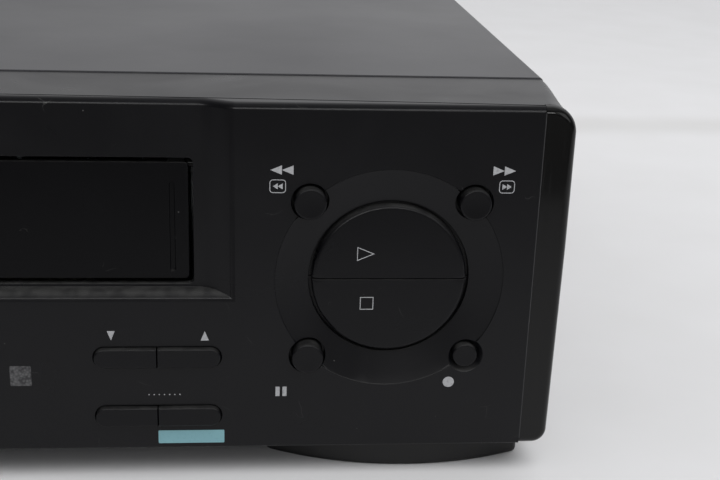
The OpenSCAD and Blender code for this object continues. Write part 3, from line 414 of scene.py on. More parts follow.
@dataclass(frozen=True)
class Laminate(Finish):
    """Circuit board: phenolic paper or glass laminate with tracks that show through the lacquer."""

    colour: str = "8a6a34"
    track: str = "6f7a34"
    pitch_mm: float = 5.0

    def shader(self, net: Net) -> Socket:
        """Square cells drawn as tracks, with the board's mottled fibre under them."""
        place = net.place()
        cells = add(
            net.tree,
            "ShaderNodeTexVoronoi",
            {"Vector": place, "Scale": per_metre(self.pitch_mm), "Randomness": 0.7},
            feature="F2",
            distance="CHEBYCHEV",
        )
        wave = net.math("FRACT", net.math("MULTIPLY", cells.outputs["Distance"], 6.0))
        tracks = net.ramp(wave, 0.5, 0.55)
        fibre = net.noise(place, 1.5, 4.0)
        base = net.mix(tracks, self.colour, self.track)
        return net.principled(
            net.scaled(base, net.ramp(fibre, 0.3, 0.7, 0.85, 1.15)),
            Roughness=0.35,
            IOR=1.5,
            Normal=net.bump(tracks, 0.03, 0.6),
        )


@dataclass(frozen=True)
class ScreenInk(Finish):
    """Screen-printed ink: a thin matt film, a little uneven and worn through in pinholes."""

    colour: str = "a3a4a6"
    worn: str = "4b4b50"

    def shader(self, net: Net) -> Socket:
        """Mottled film with pinholes."""
        thin = net.ramp(net.noise(net.place(), 0.6, 3.0), 0.55, 0.85, 0.0, 0.6)
        return net.principled(net.mix(thin, self.colour, self.worn), Roughness=0.55, IOR=1.45)


@dataclass(frozen=True)
class WornPaper(Finish):
    """What is left of a paper sticker: grey fibres in a blocky mottle, with the plastic showing between."""

    def shader(self, net: Net) -> Socket:
        """Fibres and gaps about half a millimetre wide."""
        place = net.place()
        mixed = net.math("MULTIPLY", net.cells(place, 0.7), net.noise(place, 1.6, 3.0))
        return net.principled(net.mix(net.ramp(mixed, 0.05, 0.4), "59595a", "2c2c2e"), Roughness=0.85)


@dataclass(frozen=True)
class TubeGlass(Finish):
    """Display tube: clear glass over a dark grid, which makes it read as deep grey-green."""

    def shader(self, net: Net) -> Socket:
        """A fine mesh in the colour under a smooth surface."""
        inputs = {"Vector": net.place(), "Scale": per_metre(0.8), 1: linear("10181a"), 2: linear("26393a")}
        mesh = add(net.tree, "ShaderNodeTexChecker", inputs)
        return net.principled(mesh.outputs[0], Roughness=0.06, IOR=1.5, Coat_Weight=0.5)


class Look(Enum):
    """The finishes on this recorder, by what they are on."""

    COVER = BakedEnamel("baked_enamel_cover")
    REAR = BakedEnamel("baked_enamel_rear", colour="1c1c1e", roughness=0.42)
    SCREW = BakedEnamel("blackened_screw_steel", colour="151516", roughness=0.3, peel_mm=0.4)
    # on the front, the keys and the door, faces that look up get a painted highlight in the dust colour
    FRONT = MouldedPlastic("moulded_abs_front", colour="0a0a0d", specular=0.25, painted_top_light=0.12)
    KEY = MouldedPlastic("moulded_abs_keys", colour="08080b", specular=0.22, dust=0.25, painted_top_light=0.09)
    DOOR = MouldedPlastic(
        "moulded_abs_door",
        colour="070709",
        roughness=0.26,
        specular=0.14,
        grain_depth_mm=0.003,
        painted_top_light=0.06,
    )
    FOOT = MouldedPlastic("moulded_abs_feet", colour="0c0c0d", roughness=0.5, specular=0.35)
    SOCKET = MouldedPlastic("moulded_nylon_sockets", colour="141415", roughness=0.45, dust=0.1)
    END = GlossPlastic("polished_abs_ends")
    SMOKE = GlossPlastic("smoked_acrylic_window", colour="060608", roughness=0.04)
    EYE = GlossPlastic("infrared_acrylic_window", colour="1d0508", roughness=0.05)
    PART = MouldedPlastic("moulded_component_cases", colour="1b1b1c", roughness=0.5, dust=0.1)
    ACETAL_WHITE = MouldedPlastic("moulded_acetal_natural", colour="d9d5c8", roughness=0.4, dust=0.1)
    ACETAL_BLACK = MouldedPlastic("moulded_acetal_black", colour="202022", roughness=0.4, dust=0.1)
    WOUND = MouldedPlastic(
        "varnished_windings", colour="a5762e", grain_mm=0.6, grain_depth_mm=0.08, dust=0.0
    )
    RUBBER = MouldedRubber("moulded_rubber")
    ZINC = Metal("zinc_plated_steel", colour="b4b8ba", roughness=0.34, line_mm=0.7)
    TIN = Metal("tin_plate", colour="bfc1c0", roughness=0.28)
    TURNED = Metal("turned_aluminium", colour="cfd2d4", roughness=0.2, lines=(1.0, 1.0, 0.2), tarnish=0.05)
    MACHINED = Metal("machined_steel", colour="9da1a4", roughness=0.26, lines=(1.0, 1.0, 0.3))
    NICKEL = Metal("nickel_plate", colour="d6d1c4", roughness=0.18, lines=(1.0, 0.1, 1.0), tarnish=0.2)
    BRASS = Metal("tinned_brass_contacts", colour="cdb98a", roughness=0.25, lines=(1.0, 0.1, 1.0))
    BOARD = Laminate("phenolic_board")
    BOARD_FRONT = Laminate("front_board_laminate", colour="2f4a26", track="45622f", pitch_mm=4.0)
    TUBE = TubeGlass("display_tube_glass")
    INK = ScreenInk("screen_ink_grey")
    TEAL = ScreenInk("printed_teal_film", colour="78a5ad", worn="5f9097")
    RED_RING = MouldedPlastic("moulded_red_insulator", colour="a3231c", roughness=0.35, dust=0.0)
    # pale strip in the joint beside each cap: painted highlight for the lit edge, with specks of dust
    SEAM_HIGHLIGHT = MouldedPlastic("dusty_joint_painted_highlight", colour="2c2c2e", roughness=0.6, dust=0.6)
    WHITE_RING = MouldedPlastic("moulded_white_insulator", colour="dcdad2", roughness=0.35, dust=0.0)
    PAPER = WornPaper("worn_paper_sticker")


# Outlines, in millimetres


def arc(centre: Pair, radius: float, start: float, end: float, steps: int) -> np.ndarray:
    """Points on an arc: centre + radius * (cos a, sin a), with a from start to end in degrees."""
    angle = np.radians(np.linspace(start, end, steps + 1))
    return np.stack([centre[0] + radius * np.cos(angle), centre[1] + radius * np.sin(angle)], 1)


def disc(centre: Pair, radius: float, steps: int = 64) -> np.ndarray:
    """A circle, counter-clockwise, without its last point repeated."""
    return arc(centre, radius, 0, 360, steps)[:-1]


def rounded_box(
    x: Pair, z: Pair, radii: tuple[float, float, float, float], steps: int = 0
) -> np.ndarray:
    """A rectangle with a quarter circle at each corner.

    Args:
        x: left and right.
        z: bottom and top.
        radii: of the bottom right, top right, top left and bottom left corners.
        steps: along each corner; 0 takes them from its radius.

    Returns:
        Points counter-clockwise from the bottom right corner.
    """
    corners = [
        (x[1], z[0], -1, 1, -90),
        (x[1], z[1], -1, -1, 0),
        (x[0], z[1], 1, -1, 90),
        (x[0], z[0], 1, 1, 180),
    ]
    return np.concatenate(
        [
            arc((cx + sx * r, cz + sz * r), r, start, start + 90, steps or max(2, round(r * 4) + 4))
            for (cx, cz, sx, sz, start), r in zip(corners, radii)
        ]
    )


def inset(outline: np.ndarray, distance: np.ndarray | float) -> np.ndarray:
    """Move a counter-clockwise outline inwards.

    Each point moves against the mean of its two edges' outward normals, by distance over the
    cosine of half the turn, so that both edges move by that distance.

    Args:
        outline: points, n by 2.
        distance: one distance, or one for each point.

    Returns:
        The moved points.
    """
    edge = np.roll(outline, -1, 0) - outline
    edge /= np.maximum(np.linalg.norm(edge, axis=1, keepdims=True), 1e-9)
    normal = np.stack([edge[:, 1], -edge[:, 0]], 1)
    before = np.roll(normal, 1, 0)
    middle = normal + before
    middle /= np.maximum(np.linalg.norm(middle, axis=1, keepdims=True), 1e-9)
    lean = np.clip(np.sum(middle * normal, 1), 0.35, 1.0)
    return outline - middle * (np.broadcast_to(distance, lean.shape) / lean)[:, None]


# Shells


@dataclass
class Shell:
    """A mesh in millimetres: points, n by 3, and faces as lists of point numbers."""

    points: np.ndarray
    faces: Faces

    def __add__(self, other: "Shell") -> "Shell":
        """Put two shells into one mesh, without joining them."""
        shift = len(self.points)
        return Shell(
            np.concatenate([self.points, other.points]),
            self.faces + [[i + shift for i in face] for face in other.faces],
        )

    def outward(self) -> "Shell":
        """Turn the faces outwards: the volume under all faces, as fans, has to be positive."""
        fans = np.array([[f[0], f[i], f[i + 1]] for f in self.faces for i in range(1, len(f) - 1)])
        a, b, c = (self.points[fans[:, k]] for k in range(3))
        if np.sum(a * np.cross(b, c)) < 0:
            return Shell(self.points, [face[::-1] for face in self.faces])
        return self


def joined(shells: list[Shell]) -> Shell:
    """Put any number of shells into one mesh."""
    return reduce(Shell.__add__, shells)


def skin(rings: np.ndarray, closed: bool = True) -> Shell:
    """Join a stack of rings with four-sided faces, point (k, i) to (k, i+1), (k+1, i+1) and (k+1, i).

    Args:
        rings: k by n by 3.
        closed: whether the first and last rings are covered.

    Returns:
        The shell, facing outwards.
    """
    count, size, _ = rings.shape
    index = np.arange(count * size).reshape(count, size)
    after = np.roll(index, -1, 1)
    quads = np.stack([index[:-1], after[:-1], after[1:], index[1:]], -1).reshape(-1, 4).tolist()
    if closed:
        quads += [index[0][::-1].tolist(), index[-1].tolist()]
    return Shell(rings.reshape(-1, 3), quads).outward()


def at_depth(outline: np.ndarray, y: np.ndarray | float) -> np.ndarray:
    """Stand an outline of (x, z) points up at the depth y."""
    depth = np.broadcast_to(y, (len(outline),))
    return np.stack([outline[:, 0], depth, outline[:, 1]], 1)


def quarter(rim: float, degrees: np.ndarray | list[float]) -> list[Pair]:
    """The rings of a quarter-round rim, at 0 degrees on the front and at 90 on the side.

    At angle a the ring is inset by rim * (1 - sin a) and lies rim * (1 - cos a) behind the front;
    below 0 it goes on inwards at the front's depth.

    Args:
        rim: radius of the rim.
        degrees: the angles.

    Returns:
        An inset and a depth for each angle.
    """
    return [(rim * (1 - math.sin(a)), rim * (1 - math.cos(max(a, 0)))) for a in np.radians(degrees)]


def slab(outline: np.ndarray, front: float, back: float) -> Shell:
    """A plate with sharp edges in the plane of the front, between two depths."""
    return skin(np.stack([at_depth(outline, front), at_depth(outline, back)]))


def band(outer: np.ndarray, inner: np.ndarray, front: float, back: float) -> Shell:
    """A flat closed strip between two outlines with the same number of points."""
    loops = [at_depth(outer, back), at_depth(outer, front), at_depth(inner, front), at_depth(inner, back)]
    return skin(np.stack([*loops, loops[0]]), closed=False)


def drop(distance: np.ndarray, radius: float) -> np.ndarray:
    """How far a rim of that radius falls below the face: radius - sqrt(radius^2 - (radius - distance)^2)."""
    inner = np.clip(radius - distance, 0, radius)
    return radius - np.sqrt(radius**2 - inner**2)


# Pieces


@dataclass
class Workshop:
    """Makes Blender objects from shells and from CAD nodes, and ties each to its body."""

    frame: dict
    pieces: list[str] = field(default_factory=list)

    def place(self, name: str, mesh: bpy.types.Mesh, look: Look, body: str, slot: str) -> bpy.types.Object:
        """Give a mesh its object, finish and body.

        Args:
            name: of the new piece.
            mesh: its mesh.
            look: its finish.
            body: the CAD body it moves with.
            slot: the record's material slot; not used.

        Returns:
            The object.
        """
        piece = bpy.data.objects.new(name, mesh)
        bpy.context.scene.collection.objects.link(piece)
        mesh.materials.append(look.value.material())
        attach(piece, body)
        self.pieces.append(name)
        LOG.info("piece %s on %s, %d faces", name, body, len(mesh.polygons))
        return piece

    def shape(
        self,
        name: str,
        shell: Shell,
        look: Look,
        body: str,
        slot: str,
        replaces: tuple[str, ...] = (),
        sharp: float = 40,
    ) -> bpy.types.Object:
        """Make an object from a shell in millimetres.

        Args:
            name: of the new piece.
            shell: its points and faces.
            look: its finish.
            body: the CAD body it moves with.
            slot: the record's material slot.
            replaces: CAD nodes it stands for.
            sharp: angle in degrees above which an edge is shaded sharp.

        Returns:
            The object.
        """
        mesh = bpy.data.meshes.new(name)
        mesh.from_pydata((shell.points * MM).tolist(), [], shell.faces)
        mesh.validate()
        mesh.shade_smooth()
        mesh.set_sharp_from_angle(angle=math.radians(sharp))
        piece = self.place(name, mesh, look, body, slot)
        if replaces:
            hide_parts(*replaces)
        return piece

    def merged(self, node: str) -> bpy.types.Mesh:
        """Copy a CAD node's mesh, with equal points made one and flat faces joined.

        Args:
            node: the CAD node.

        Returns:
            The new mesh.
        """
        source = self.frame["nodes"][node].data
        points = np.empty(len(source.vertices) * 3, np.float32)
        source.vertices.foreach_get("co", points)
        corners = np.empty(len(source.loops), np.int32)
        source.loops.foreach_get("vertex_index", corners)
        points = points.reshape(-1, 3)
        grid = np.round(points / MERGE_M).astype(np.int64)
        _, first, same = np.unique(grid, axis=0, return_index=True, return_inverse=True)
        triangles = same.ravel()[corners].reshape(-1, 3)
        whole = np.all(triangles != np.roll(triangles, -1, 1), axis=1)
        mesh = bpy.data.meshes.new(node + "_finished")
        mesh.from_pydata(points[first].tolist(), [], triangles[whole].tolist())
        build = bmesh.new()
        build.from_mesh(mesh)
        bmesh.ops.dissolve_limit(
            build, angle_limit=FLAT, use_dissolve_boundaries=False, verts=build.verts, edges=build.edges
        )
        build.to_mesh(mesh)
        build.free()
        return mesh

    def carried(self, node: str, look: Look, edge_mm: float) -> bpy.types.Object:
        """Stand a merged copy with rounded edges in for a CAD node.

        Args:
            node: the CAD node.
            look: its finish.
            edge_mm: width of the rounding; 0 leaves the edges sharp.

        Returns:
            The copy.
        """
        mesh = self.merged(node)
        mesh.shade_smooth()
        mesh.set_sharp_from_angle(angle=SHARP)
        slot = next(p["material_slot"] for p in self.frame["record"]["subparts"] if p["node"] == node)
        body = self.frame["nodes"][node]["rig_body"]
        piece = self.place(node + "_finished", mesh, look, body, slot)
        if edge_mm:
            edge = piece.modifiers.new("edge", "BEVEL")
            edge.width = edge_mm * MM
            edge.segments = 2
            edge.limit_method = "ANGLE"
            edge.angle_limit = SHARP
            edge.use_clamp_overlap = False
            even = piece.modifiers.new("even", "WEIGHTED_NORMAL")
            even.keep_sharp = True
        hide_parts(node)
        return piece

    def dress(self, node: str, look: Look) -> None:
        """Give a CAD node that stays its finish."""
        data = self.frame["nodes"][node].data
        data.materials.clear()
        data.materials.append(look.value.material())
        LOG.info("node %s dressed", node)


@dataclass
class Subassembly:
    """CAD nodes that belong together, by what is done to them."""

    shop: Workshop
    # finish of each node that gets rounded edges, and how wide they are in millimetres
    rounded: dict[str, tuple[Look, float]] = field(default_factory=dict)
    # finish of each node that stays as it is
    dressed: dict[str, Look] = field(default_factory=dict)

    def build(self) -> None:
        """Round the edges of some nodes and dress the others."""
        for node, (look, edge) in self.rounded.items():
            self.shop.carried(node, look, edge)
        for node, look in self.dressed.items():
            self.shop.dress(node, look)


@dataclass
class Cabinet(Subassembly):
    """Steel cover, bottom pan, rear panel, feet and screws."""

    rounded: dict[str, tuple[Look, float]] = field(
        default_factory=lambda: {
            "top_cover": (Look.COVER, 0.25),
            "bottom_pan": (Look.ZINC, 0.2),
            "rear_panel": (Look.REAR, 0.0),
            "front_foot_right": (Look.FOOT, 1.2),
            "front_foot_left": (Look.FOOT, 1.2),
            "rear_feet": (Look.RUBBER, 0.8),
            "cover_screws": (Look.SCREW, 0.2),
        }
    )


@dataclass
class FrontMoulding:
    """The moulded front with its end caps, windows and printed marks."""

    shop: Workshop
    cap_x: Pair = (181.5, 189.25)
    cap_z: Pair = (7.6, 95.15)
    cap_front: float = FACE_Y + 0.25
    cap_t: float = 2.2
    cap_rim: float = 2.0
    # radii of the bottom and top corners of the cap's outline
    cap_corners: Pair = (3.7, 6.5)
    # below this height the cap's side leans in by the given share
    lean_z: float = 60.0
    lean: float = 0.013
    peg_x: float = 185.0
    peg_z: Pair = (25.0, 78.0)
    peg_r: float = 1.5
    peg_length: float = 6.0
    # width of a printed line, and how far a print is sunk into the face
    stroke: float = 0.18
    sunk: float = 0.03

    def cap_ring(self, depth: float, margin: float) -> np.ndarray:
        """The cap's outline, drawn in by a margin on its outer sides.

        Args:
            depth: distance behind the cap's front.
            margin: how far the bottom, the outer side and the top are drawn in.

        Returns:
            A ring of points, counter-clockwise from the bottom corner.
        """
        low, high = (radius - margin for radius in self.cap_corners)
        left = self.cap_x[0] + 0.03 * margin
        right, bottom, top = self.cap_x[1] - margin, self.cap_z[0] + margin, self.cap_z[1] - margin
        ring = np.concatenate(
            [
                arc((right - low, bottom + low), low, -90, 0, 12),
                [[right, self.lean_z]],
                arc((right - high, top - high), high, 0, 90, 20),
                [[left, top], [left, self.lean_z], [left, bottom]],
            ]
        )
        outer = ring[:, 0] > self.cap_x[0] + 1
        ring[:, 0] -= self.lean * np.clip(self.lean_z - ring[:, 1], 0, None) * outer
        return at_depth(ring, self.cap_front + depth)

    def end_cap(self) -> Shell:
        """The right end cap as rings along the depth, with a quarter-round rim and two pegs.

        Returns:
            The shell.
        """
        rings = [self.cap_ring(0.0, self.cap_rim + 0.1)]
        for step, reach in quarter(self.cap_rim, np.linspace(0, 90, 13)):
            rings.append(self.cap_ring(reach, step))
        rings.append(self.cap_ring(self.cap_t, 0.0))
        back = self.cap_front + self.cap_t
        ends = (back - 0.3, back + self.peg_length)
        pegs = [slab(disc((self.peg_x, z), self.peg_r, 24), *ends) for z in self.peg_z]
        return joined([skin(np.stack(rings)), *pegs])

    def seam_highlight(self) -> Shell:
        """The thin joint beside the right cap, filled with a pale strip: a painted highlight for the lit
        edge, with specks of dust on it.
        """
        inner = self.cap_x[0]
        line = rounded_box((inner - 0.16, inner + 0.02), (9.5, self.cap_z[1] - 1.6), (0.05,) * 4)
        return slab(line, FACE_Y + 0.05, FACE_Y + 1.0)

    def build_caps(self) -> None:
        """Both end caps; the left one is mirrored and turned outwards again."""
        flip = np.array([-1.0, 1.0, 1.0])
        cap, seam_highlight = self.end_cap(), self.seam_highlight()
        for side in ("right", "left"):
            if side == "left":
                cap, seam_highlight = (Shell(part.points * flip, part.faces).outward() for part in (cap, seam_highlight))
            name = "end_cap_" + side
            self.shop.shape(name + "_polished", cap, Look.END, "cabinet", "gloss_abs", (name,))
            # the pale strip in the joint is a painted highlight for the lit edge
            self.shop.shape(name + "_seam", seam_highlight, Look.SEAM_HIGHLIGHT, "cabinet", "front_abs")

    def print_mark(
        self, name: str, shells: list[Shell], body: str = "cabinet", look: Look = Look.INK
    ) -> None:
        """Put a printed mark on its body."""
        slot = "front_abs" if body == "cabinet" else "button_abs"
        self.shop.shape(name, joined(shells), look, body, slot, sharp=20)

    def film(self, outline: np.ndarray, thick: float = INK_T) -> Shell:
        """A film on the front, sunk a little into it."""
        return slab(outline, FACE_Y - thick, FACE_Y + self.sunk)

    def ring_film(self, outline: np.ndarray, face: float = FACE_Y) -> Shell:
        """An outline drawn with a stroke of ink."""
        return band(outline, inset(outline, self.stroke), face - INK_T, face + self.sunk)

    def arrows(self, x: Pair, z: float, half: float, way: int) -> list[Shell]:
        """Two triangles in a row.

        Args:
            x: left and right end of the pair.
            z: height of the tips.
            half: half of the triangles' height.
            way: -1 if they point left, 1 if they point right.

        Returns:
            A film for each triangle.
        """
        width = (x[1] - x[0]) / 2
        shells = []
        for start in (x[0], x[0] + width):
            tip, back = (start, start + width) if way < 0 else (start + width, start)
            points = np.array([[back, z - half], [tip, z], [back, z + half]])
            shells.append(self.film(points if way > 0 else points[::-1]))
        return shells

    def build_marks(self) -> None:
        """Transport signs, in the places and sizes that they have on the front."""
        self.print_mark("mark_rewind", self.arrows((117.85, 123.2), 79.63, 1.12, -1))
        self.print_mark("mark_forward", self.arrows((169.85, 175.2), 79.82, 1.12, 1))
        for name, x, z, way in (
            ("mark_review", (117.7, 121.5), (74.1, 77.35), -1),
            ("mark_cue", (171.5, 175.2), (74.35, 77.5), 1),
        ):
            box = rounded_box(x, z, (0.8,) * 4)
            small = (x[0] + 0.75, x[1] - 0.75)
            self.print_mark(name, [self.ring_film(box), *self.arrows(small, sum(z) / 2, 0.72, way)])
        outlined = {
            "play": np.array([[138.65, 57.0], [142.85, 58.8], [138.65, 60.55]]),
            "stop": np.array([[139.7, 44.5], [142.95, 44.5], [142.95, 47.75], [139.7, 47.75]]),
        }
        for body, outline in outlined.items():
            self.print_mark("mark_" + body, [self.ring_film(outline, DIAL_FACE_Y)], body)
        bars = [rounded_box((x, x + 1.02), (21.95, 24.5), (0.05,) * 4) for x in (119.6, 121.3)]
        self.print_mark("mark_pause", [self.film(bar) for bar in bars])
        filled = {
            "mark_record": disc((162.32, 25.44), 1.4, 32),
            "mark_down": np.array([[79.4, 39.5], [80.33, 37.1], [81.27, 39.5]]),
            "mark_up": np.array([[101.55, 36.95], [103.5, 36.95], [102.52, 39.4]]),
        }
        for name, outline in filled.items():
            self.print_mark(name, [self.film(outline)])
        dots = [disc((88.95 + 1.24 * i, 22.65), 0.16, 12) for i in range(7)]
        self.print_mark("mark_link", [self.film(dot) for dot in dots])
        label = rounded_box((91.0, 107.1), (9.35, 12.85), (0.25,) * 4)
        self.print_mark("label_bare", [self.film(label, LABEL_T)], look=Look.TEAL)
        rest = rounded_box((56.2, 61.2), (25.3, 30.5), (0.3,) * 4)
        self.print_mark("sticker_rest", [self.film(rest, PAPER_T)], look=Look.PAPER)

    def build(self) -> None:
        """Moulding, caps, windows and marks."""
        self.shop.carried("front_bezel", Look.FRONT, 0.1)
        self.build_caps()
        self.shop.carried("display_window", Look.SMOKE, 0.2)
        self.shop.carried("remote_window", Look.EYE, 0.2)
        self.build_marks()


@dataclass
class Keys:
    """The buttons of the front: two halves of a disc, four round ones and six oblong ones."""

    shop: Workshop
    radius: float = 18.65
    rim: float = 1.1
    cut_rim: float = 0.12
    # half of the gap between the two halves of the disc
    cut: float = 0.15
    flange: Pair = (FACE_Y + 2.1, FACE_Y + 3.2)
    # behind the dished ring the moulding is thicker
    dial_flange: Pair = (FACE_Y + 3.5, FACE_Y + 4.6)
    # where the stems touch the switches
    stem_end: float = FACE_Y + 7.0
    # distances from the edge at which the disc's face has a ring
    disc_steps: tuple[float, ...] = (
        0, 0.01, 0.03, 0.06, 0.1, 0.15, 0.22, 0.3, 0.4, 0.5, 0.62, 0.75, 0.9, 1.2
    )
    disc_flange_r: float = 20.6
    # distance of a half's stem from the disc's centre, and its radius
    disc_stem: Pair = (9.0, 1.8)
    stem_r: float = 1.5
    # rim and dish of the round keys
    key_rim: float = 0.5
    key_dish: float = 0.12
    key_flange_r: float = 5.3
    # half width, half height, rim and height above the front of an oblong key
    half_w: float = 15.1
    half_h: float = 2.5
    oblong_rim: float = 0.45
    oblong_proud: float = 1.2
    # how far a half key's stem is from the middle of its pair
    stem_shift: float = 7.675

    def stem(self, centre: Pair, radius: float, start: float) -> Shell:
        """The pin behind a button that works its switch, from just inside its flange at start."""
        return slab(disc(centre, radius, 24), start + 0.2, self.stem_end)

    def half_outline(self, upper: bool, radius: float, cut: float) -> np.ndarray:
        """Half a disc: an arc closed by a chord.

        Args:
            upper: whether it is the upper half.
            radius: of the arc.
            cut: distance of the chord from the disc's centre.

        Returns:
            Points counter-clockwise from the arc's first end.
        """
        reach = math.degrees(math.asin(cut / radius))
        start, end = (reach, 180 - reach) if upper else (180 + reach, 360 - reach)
        edge = arc((DIAL_X, DIAL_Z), radius, start, end, 90)
        chord = np.linspace(edge[-1], edge[0], 30)[1:-1]
        return np.concatenate([edge, chord])

    def half_disc(self, upper: bool) -> Shell:
        """Half of the disc as rings that step inwards from its edge.

        At a distance d from the arc the face drops by rim - sqrt(rim^2 - (rim - d)^2), and at the same
        distance from the cut in the same way with cut_rim.

        Args:
            upper: whether it is the upper half.

        Returns:
            The shell, with its flange and stem.
        """
        rings = [at_depth(self.half_outline(upper, self.radius, self.cut), self.dial_flange[0])]
        for step in self.disc_steps:
            points = self.half_outline(upper, self.radius - step, self.cut + step)
            from_arc = self.radius - np.hypot(points[:, 0] - DIAL_X, points[:, 1] - DIAL_Z)
            from_cut = np.abs(points[:, 1] - DIAL_Z) - self.cut
            fall = drop(from_arc, self.rim) + drop(from_cut, self.cut_rim)
            rings.append(at_depth(points, DIAL_FACE_Y + fall))
        face = skin(np.stack(rings))
        wide = self.half_outline(upper, self.disc_flange_r, self.cut)
        shift, stem_r = self.disc_stem
        z = DIAL_Z + shift if upper else DIAL_Z - shift
        return face + slab(wide, *self.dial_flange) + self.stem((DIAL_X, z), stem_r, self.dial_flange[0])

    def round_key(self, x: float, z: float, radius: float, front: float) -> Shell:
        """A round button with a rim and a dished face, its flange and its stem.

        The rings of the face lie dish * (1 - (r / R)^2) behind the rim, R being the flat radius.

        Args:
            x: of its centre.
            z: of its centre.
            radius: of its cap.
            front: depth of its face.

        Returns:
            The shell.
        """
        flat = radius - self.key_rim
        rings = [at_depth(disc((x, z), radius), self.dial_flange[0])]
        for step, reach in quarter(self.key_rim, np.linspace(90, 0, 7)):
            rings.append(at_depth(disc((x, z), radius - step), front + reach))
        for share in (0.93, 0.8, 0.6, 0.4, 0.2):
            rings.append(at_depth(disc((x, z), flat * share), front + self.key_dish * (1 - share**2)))
        flange = slab(disc((x, z), self.key_flange_r, 48), *self.dial_flange)
        return skin(np.stack(rings)) + flange + self.stem((x, z), self.stem_r, self.dial_flange[0])

    def oblong(self, centre: Pair, side: int) -> Shell:
        """An oblong button, or one half of a pair.

        Args:
            centre: of the slot.
            side: -1 for the left half, 1 for the right half, 0 for a whole button.

        Returns:
            The shell, with its flange and stem.
        """
        half_h = self.half_h
        split, gap = centre[0] - 0.1, 0.12
        x = [centre[0] - self.half_w, centre[0] + self.half_w]
        if side < 0:
            x[1] = split - gap
        if side > 0:
            x[0] = split + gap
        # the rim is a sixth as wide along the split
        shrink = (1 if side <= 0 else 1 / 6, 1 if side >= 0 else 1 / 6)
        rings = []
        for step, reach in quarter(self.oblong_rim, [-18, 0, 15, 30, 45, 60, 75, 90]):
            round_end = half_h - 0.05 - step
            radii = [round_end if side >= 0 else 0.1] * 2 + [round_end if side <= 0 else 0.1] * 2
            across = (x[0] + step * shrink[0], x[1] - step * shrink[1])
            upright = (centre[1] - half_h + step, centre[1] + half_h - step)
            outline = rounded_box(across, upright, tuple(radii), 12)
            rings.append(at_depth(outline, FACE_Y - self.oblong_proud + reach))
        rings.append(at_depth(outline, self.flange[0] + 0.2))
        # the flange reaches past the outer ends and past the long sides
        wing, lap = 0.9, 1.0
        wide = (x[0] - wing * (side <= 0), x[1] + wing * (side >= 0))
        skirt = rounded_box(wide, (centre[1] - half_h - lap, centre[1] + half_h + lap), (0.1,) * 4)
        stem = self.stem((centre[0] + side * self.stem_shift, centre[1]), self.stem_r, self.flange[0])
        return skin(np.stack(rings)) + slab(skirt, *self.flange) + stem

    def build(self) -> None:
        """Make each key on its own body."""
        # the four round keys stand at the corners of a square round the disc
        left, right, top, low = DIAL_X - 19.4, DIAL_X + 19.4, DIAL_Z + 19.5, DIAL_Z - 19.7
        round_r, record_r = 3.8, 3.05
        round_front, record_front = FACE_Y - 2, FACE_Y - 0.4
        channel, menu, power, eject = (91.2, 32.6), (91.2, 17.0), (-146.6, 70.0), (-146.6, 54.0)
        shells = {
            "play": self.half_disc(True),
            "stop": self.half_disc(False),
            "rewind": self.round_key(left, top, round_r, round_front),
            "fast_forward": self.round_key(right, top, round_r, round_front),
            "pause": self.round_key(left, low, round_r, round_front),
            "record": self.round_key(right, low, record_r, record_front),
            "channel_down": self.oblong(channel, -1),
            "channel_up": self.oblong(channel, 1),
            "menu": self.oblong(menu, -1),
            "set": self.oblong(menu, 1),
            "power": self.oblong(power, 0),
            "eject": self.oblong(eject, 0),
        }
        for body, shell in shells.items():
            self.shop.shape(body + "_key", shell, Look.KEY, body, "button_abs", (body + "_button",))


@dataclass
class Sockets:
    """The plates, pins and contacts of the rear sockets."""

    shop: Workshop
    audio_z: float = 30.0
    # outer and inner radius of the insulator inside the socket and of the ring on the panel
    audio_inner: Pair = (3.75, 1.7)
    audio_cuff: Pair = (5.6, 4.62)
    # first and last contact, the sockets' heights and the distance of a socket's two rows
    scart_x: Pair = (-36.2, -3.8)
    scart_z: Pair = (66.0, 42.0)
    row_gap: float = 2.9
    pin_x: Pair = (-154.3, -145.7)
    pin_z: float = 26.0
    # depth behind the panel and radius along a mains pin
    pin_rings: tuple[Pair, ...] = ((-11.8, 1.28), (-0.3, 1.28), (0.2, 1.1), (0.45, 0.6))

    def washer(self, centre: Pair, radii: Pair, outer: float, inner: float) -> Shell:
        """A flat ring between two distances behind the rear panel."""
        circles = [disc(centre, radius, 48) for radius in radii]
        return band(*circles, REAR_Y + outer, REAR_Y + inner)

    def blade(self, x: float, z: float) -> Shell:
        """One contact of a row, in the upper half of its chamber."""
        outline = rounded_box((x - 0.55, x + 0.55), (z + 1.3, z + 1.6), (0.05,) * 4)
        return slab(outline, REAR_Y - 8.5, REAR_Y + 0.4)

    def pin(self, x: float) -> Shell:
        """A mains pin with a rounded tip, as rings along the depth."""
        rings = [at_depth(disc((x, self.pin_z), radius, 24), REAR_Y + y) for y, radius in self.pin_rings]
        return skin(np.stack(rings))

    def build(self) -> None:
        """Round the sockets' edges and add rings, pins and contact blades."""
        self.shop.carried("scart_sockets", Look.SOCKET, 0.2)
        self.shop.carried("mains_inlet", Look.SOCKET, 0.25)
        self.shop.carried("tuner_can", Look.TIN, 0.2)
        self.shop.carried("audio_sockets", Look.NICKEL, 0.15)
        for x, look, name in ((50.0, Look.WHITE_RING, "left"), (66.0, Look.RED_RING, "right")):
            rings = [
                self.washer((x, self.audio_z), self.audio_inner, 8.1, 7.9),
                self.washer((x, self.audio_z), self.audio_cuff, 1.0, 0.0),
            ]
            self.shop.shape(f"audio_{name}_insulator", joined(rings), look, "cabinet", "socket_plated")
        blades = [
            self.blade(x, z)
            for z0 in self.scart_z
            for x in np.linspace(*self.scart_x, 10)
            for z in (z0, z0 - self.row_gap)
        ]
        self.shop.shape("scart_contacts", joined(blades), Look.BRASS, "cabinet", "socket_plated")
        pins = [self.pin(x) for x in self.pin_x]
        self.shop.shape("mains_inlet_pins", joined(pins), Look.NICKEL, "cabinet", "socket_plated")


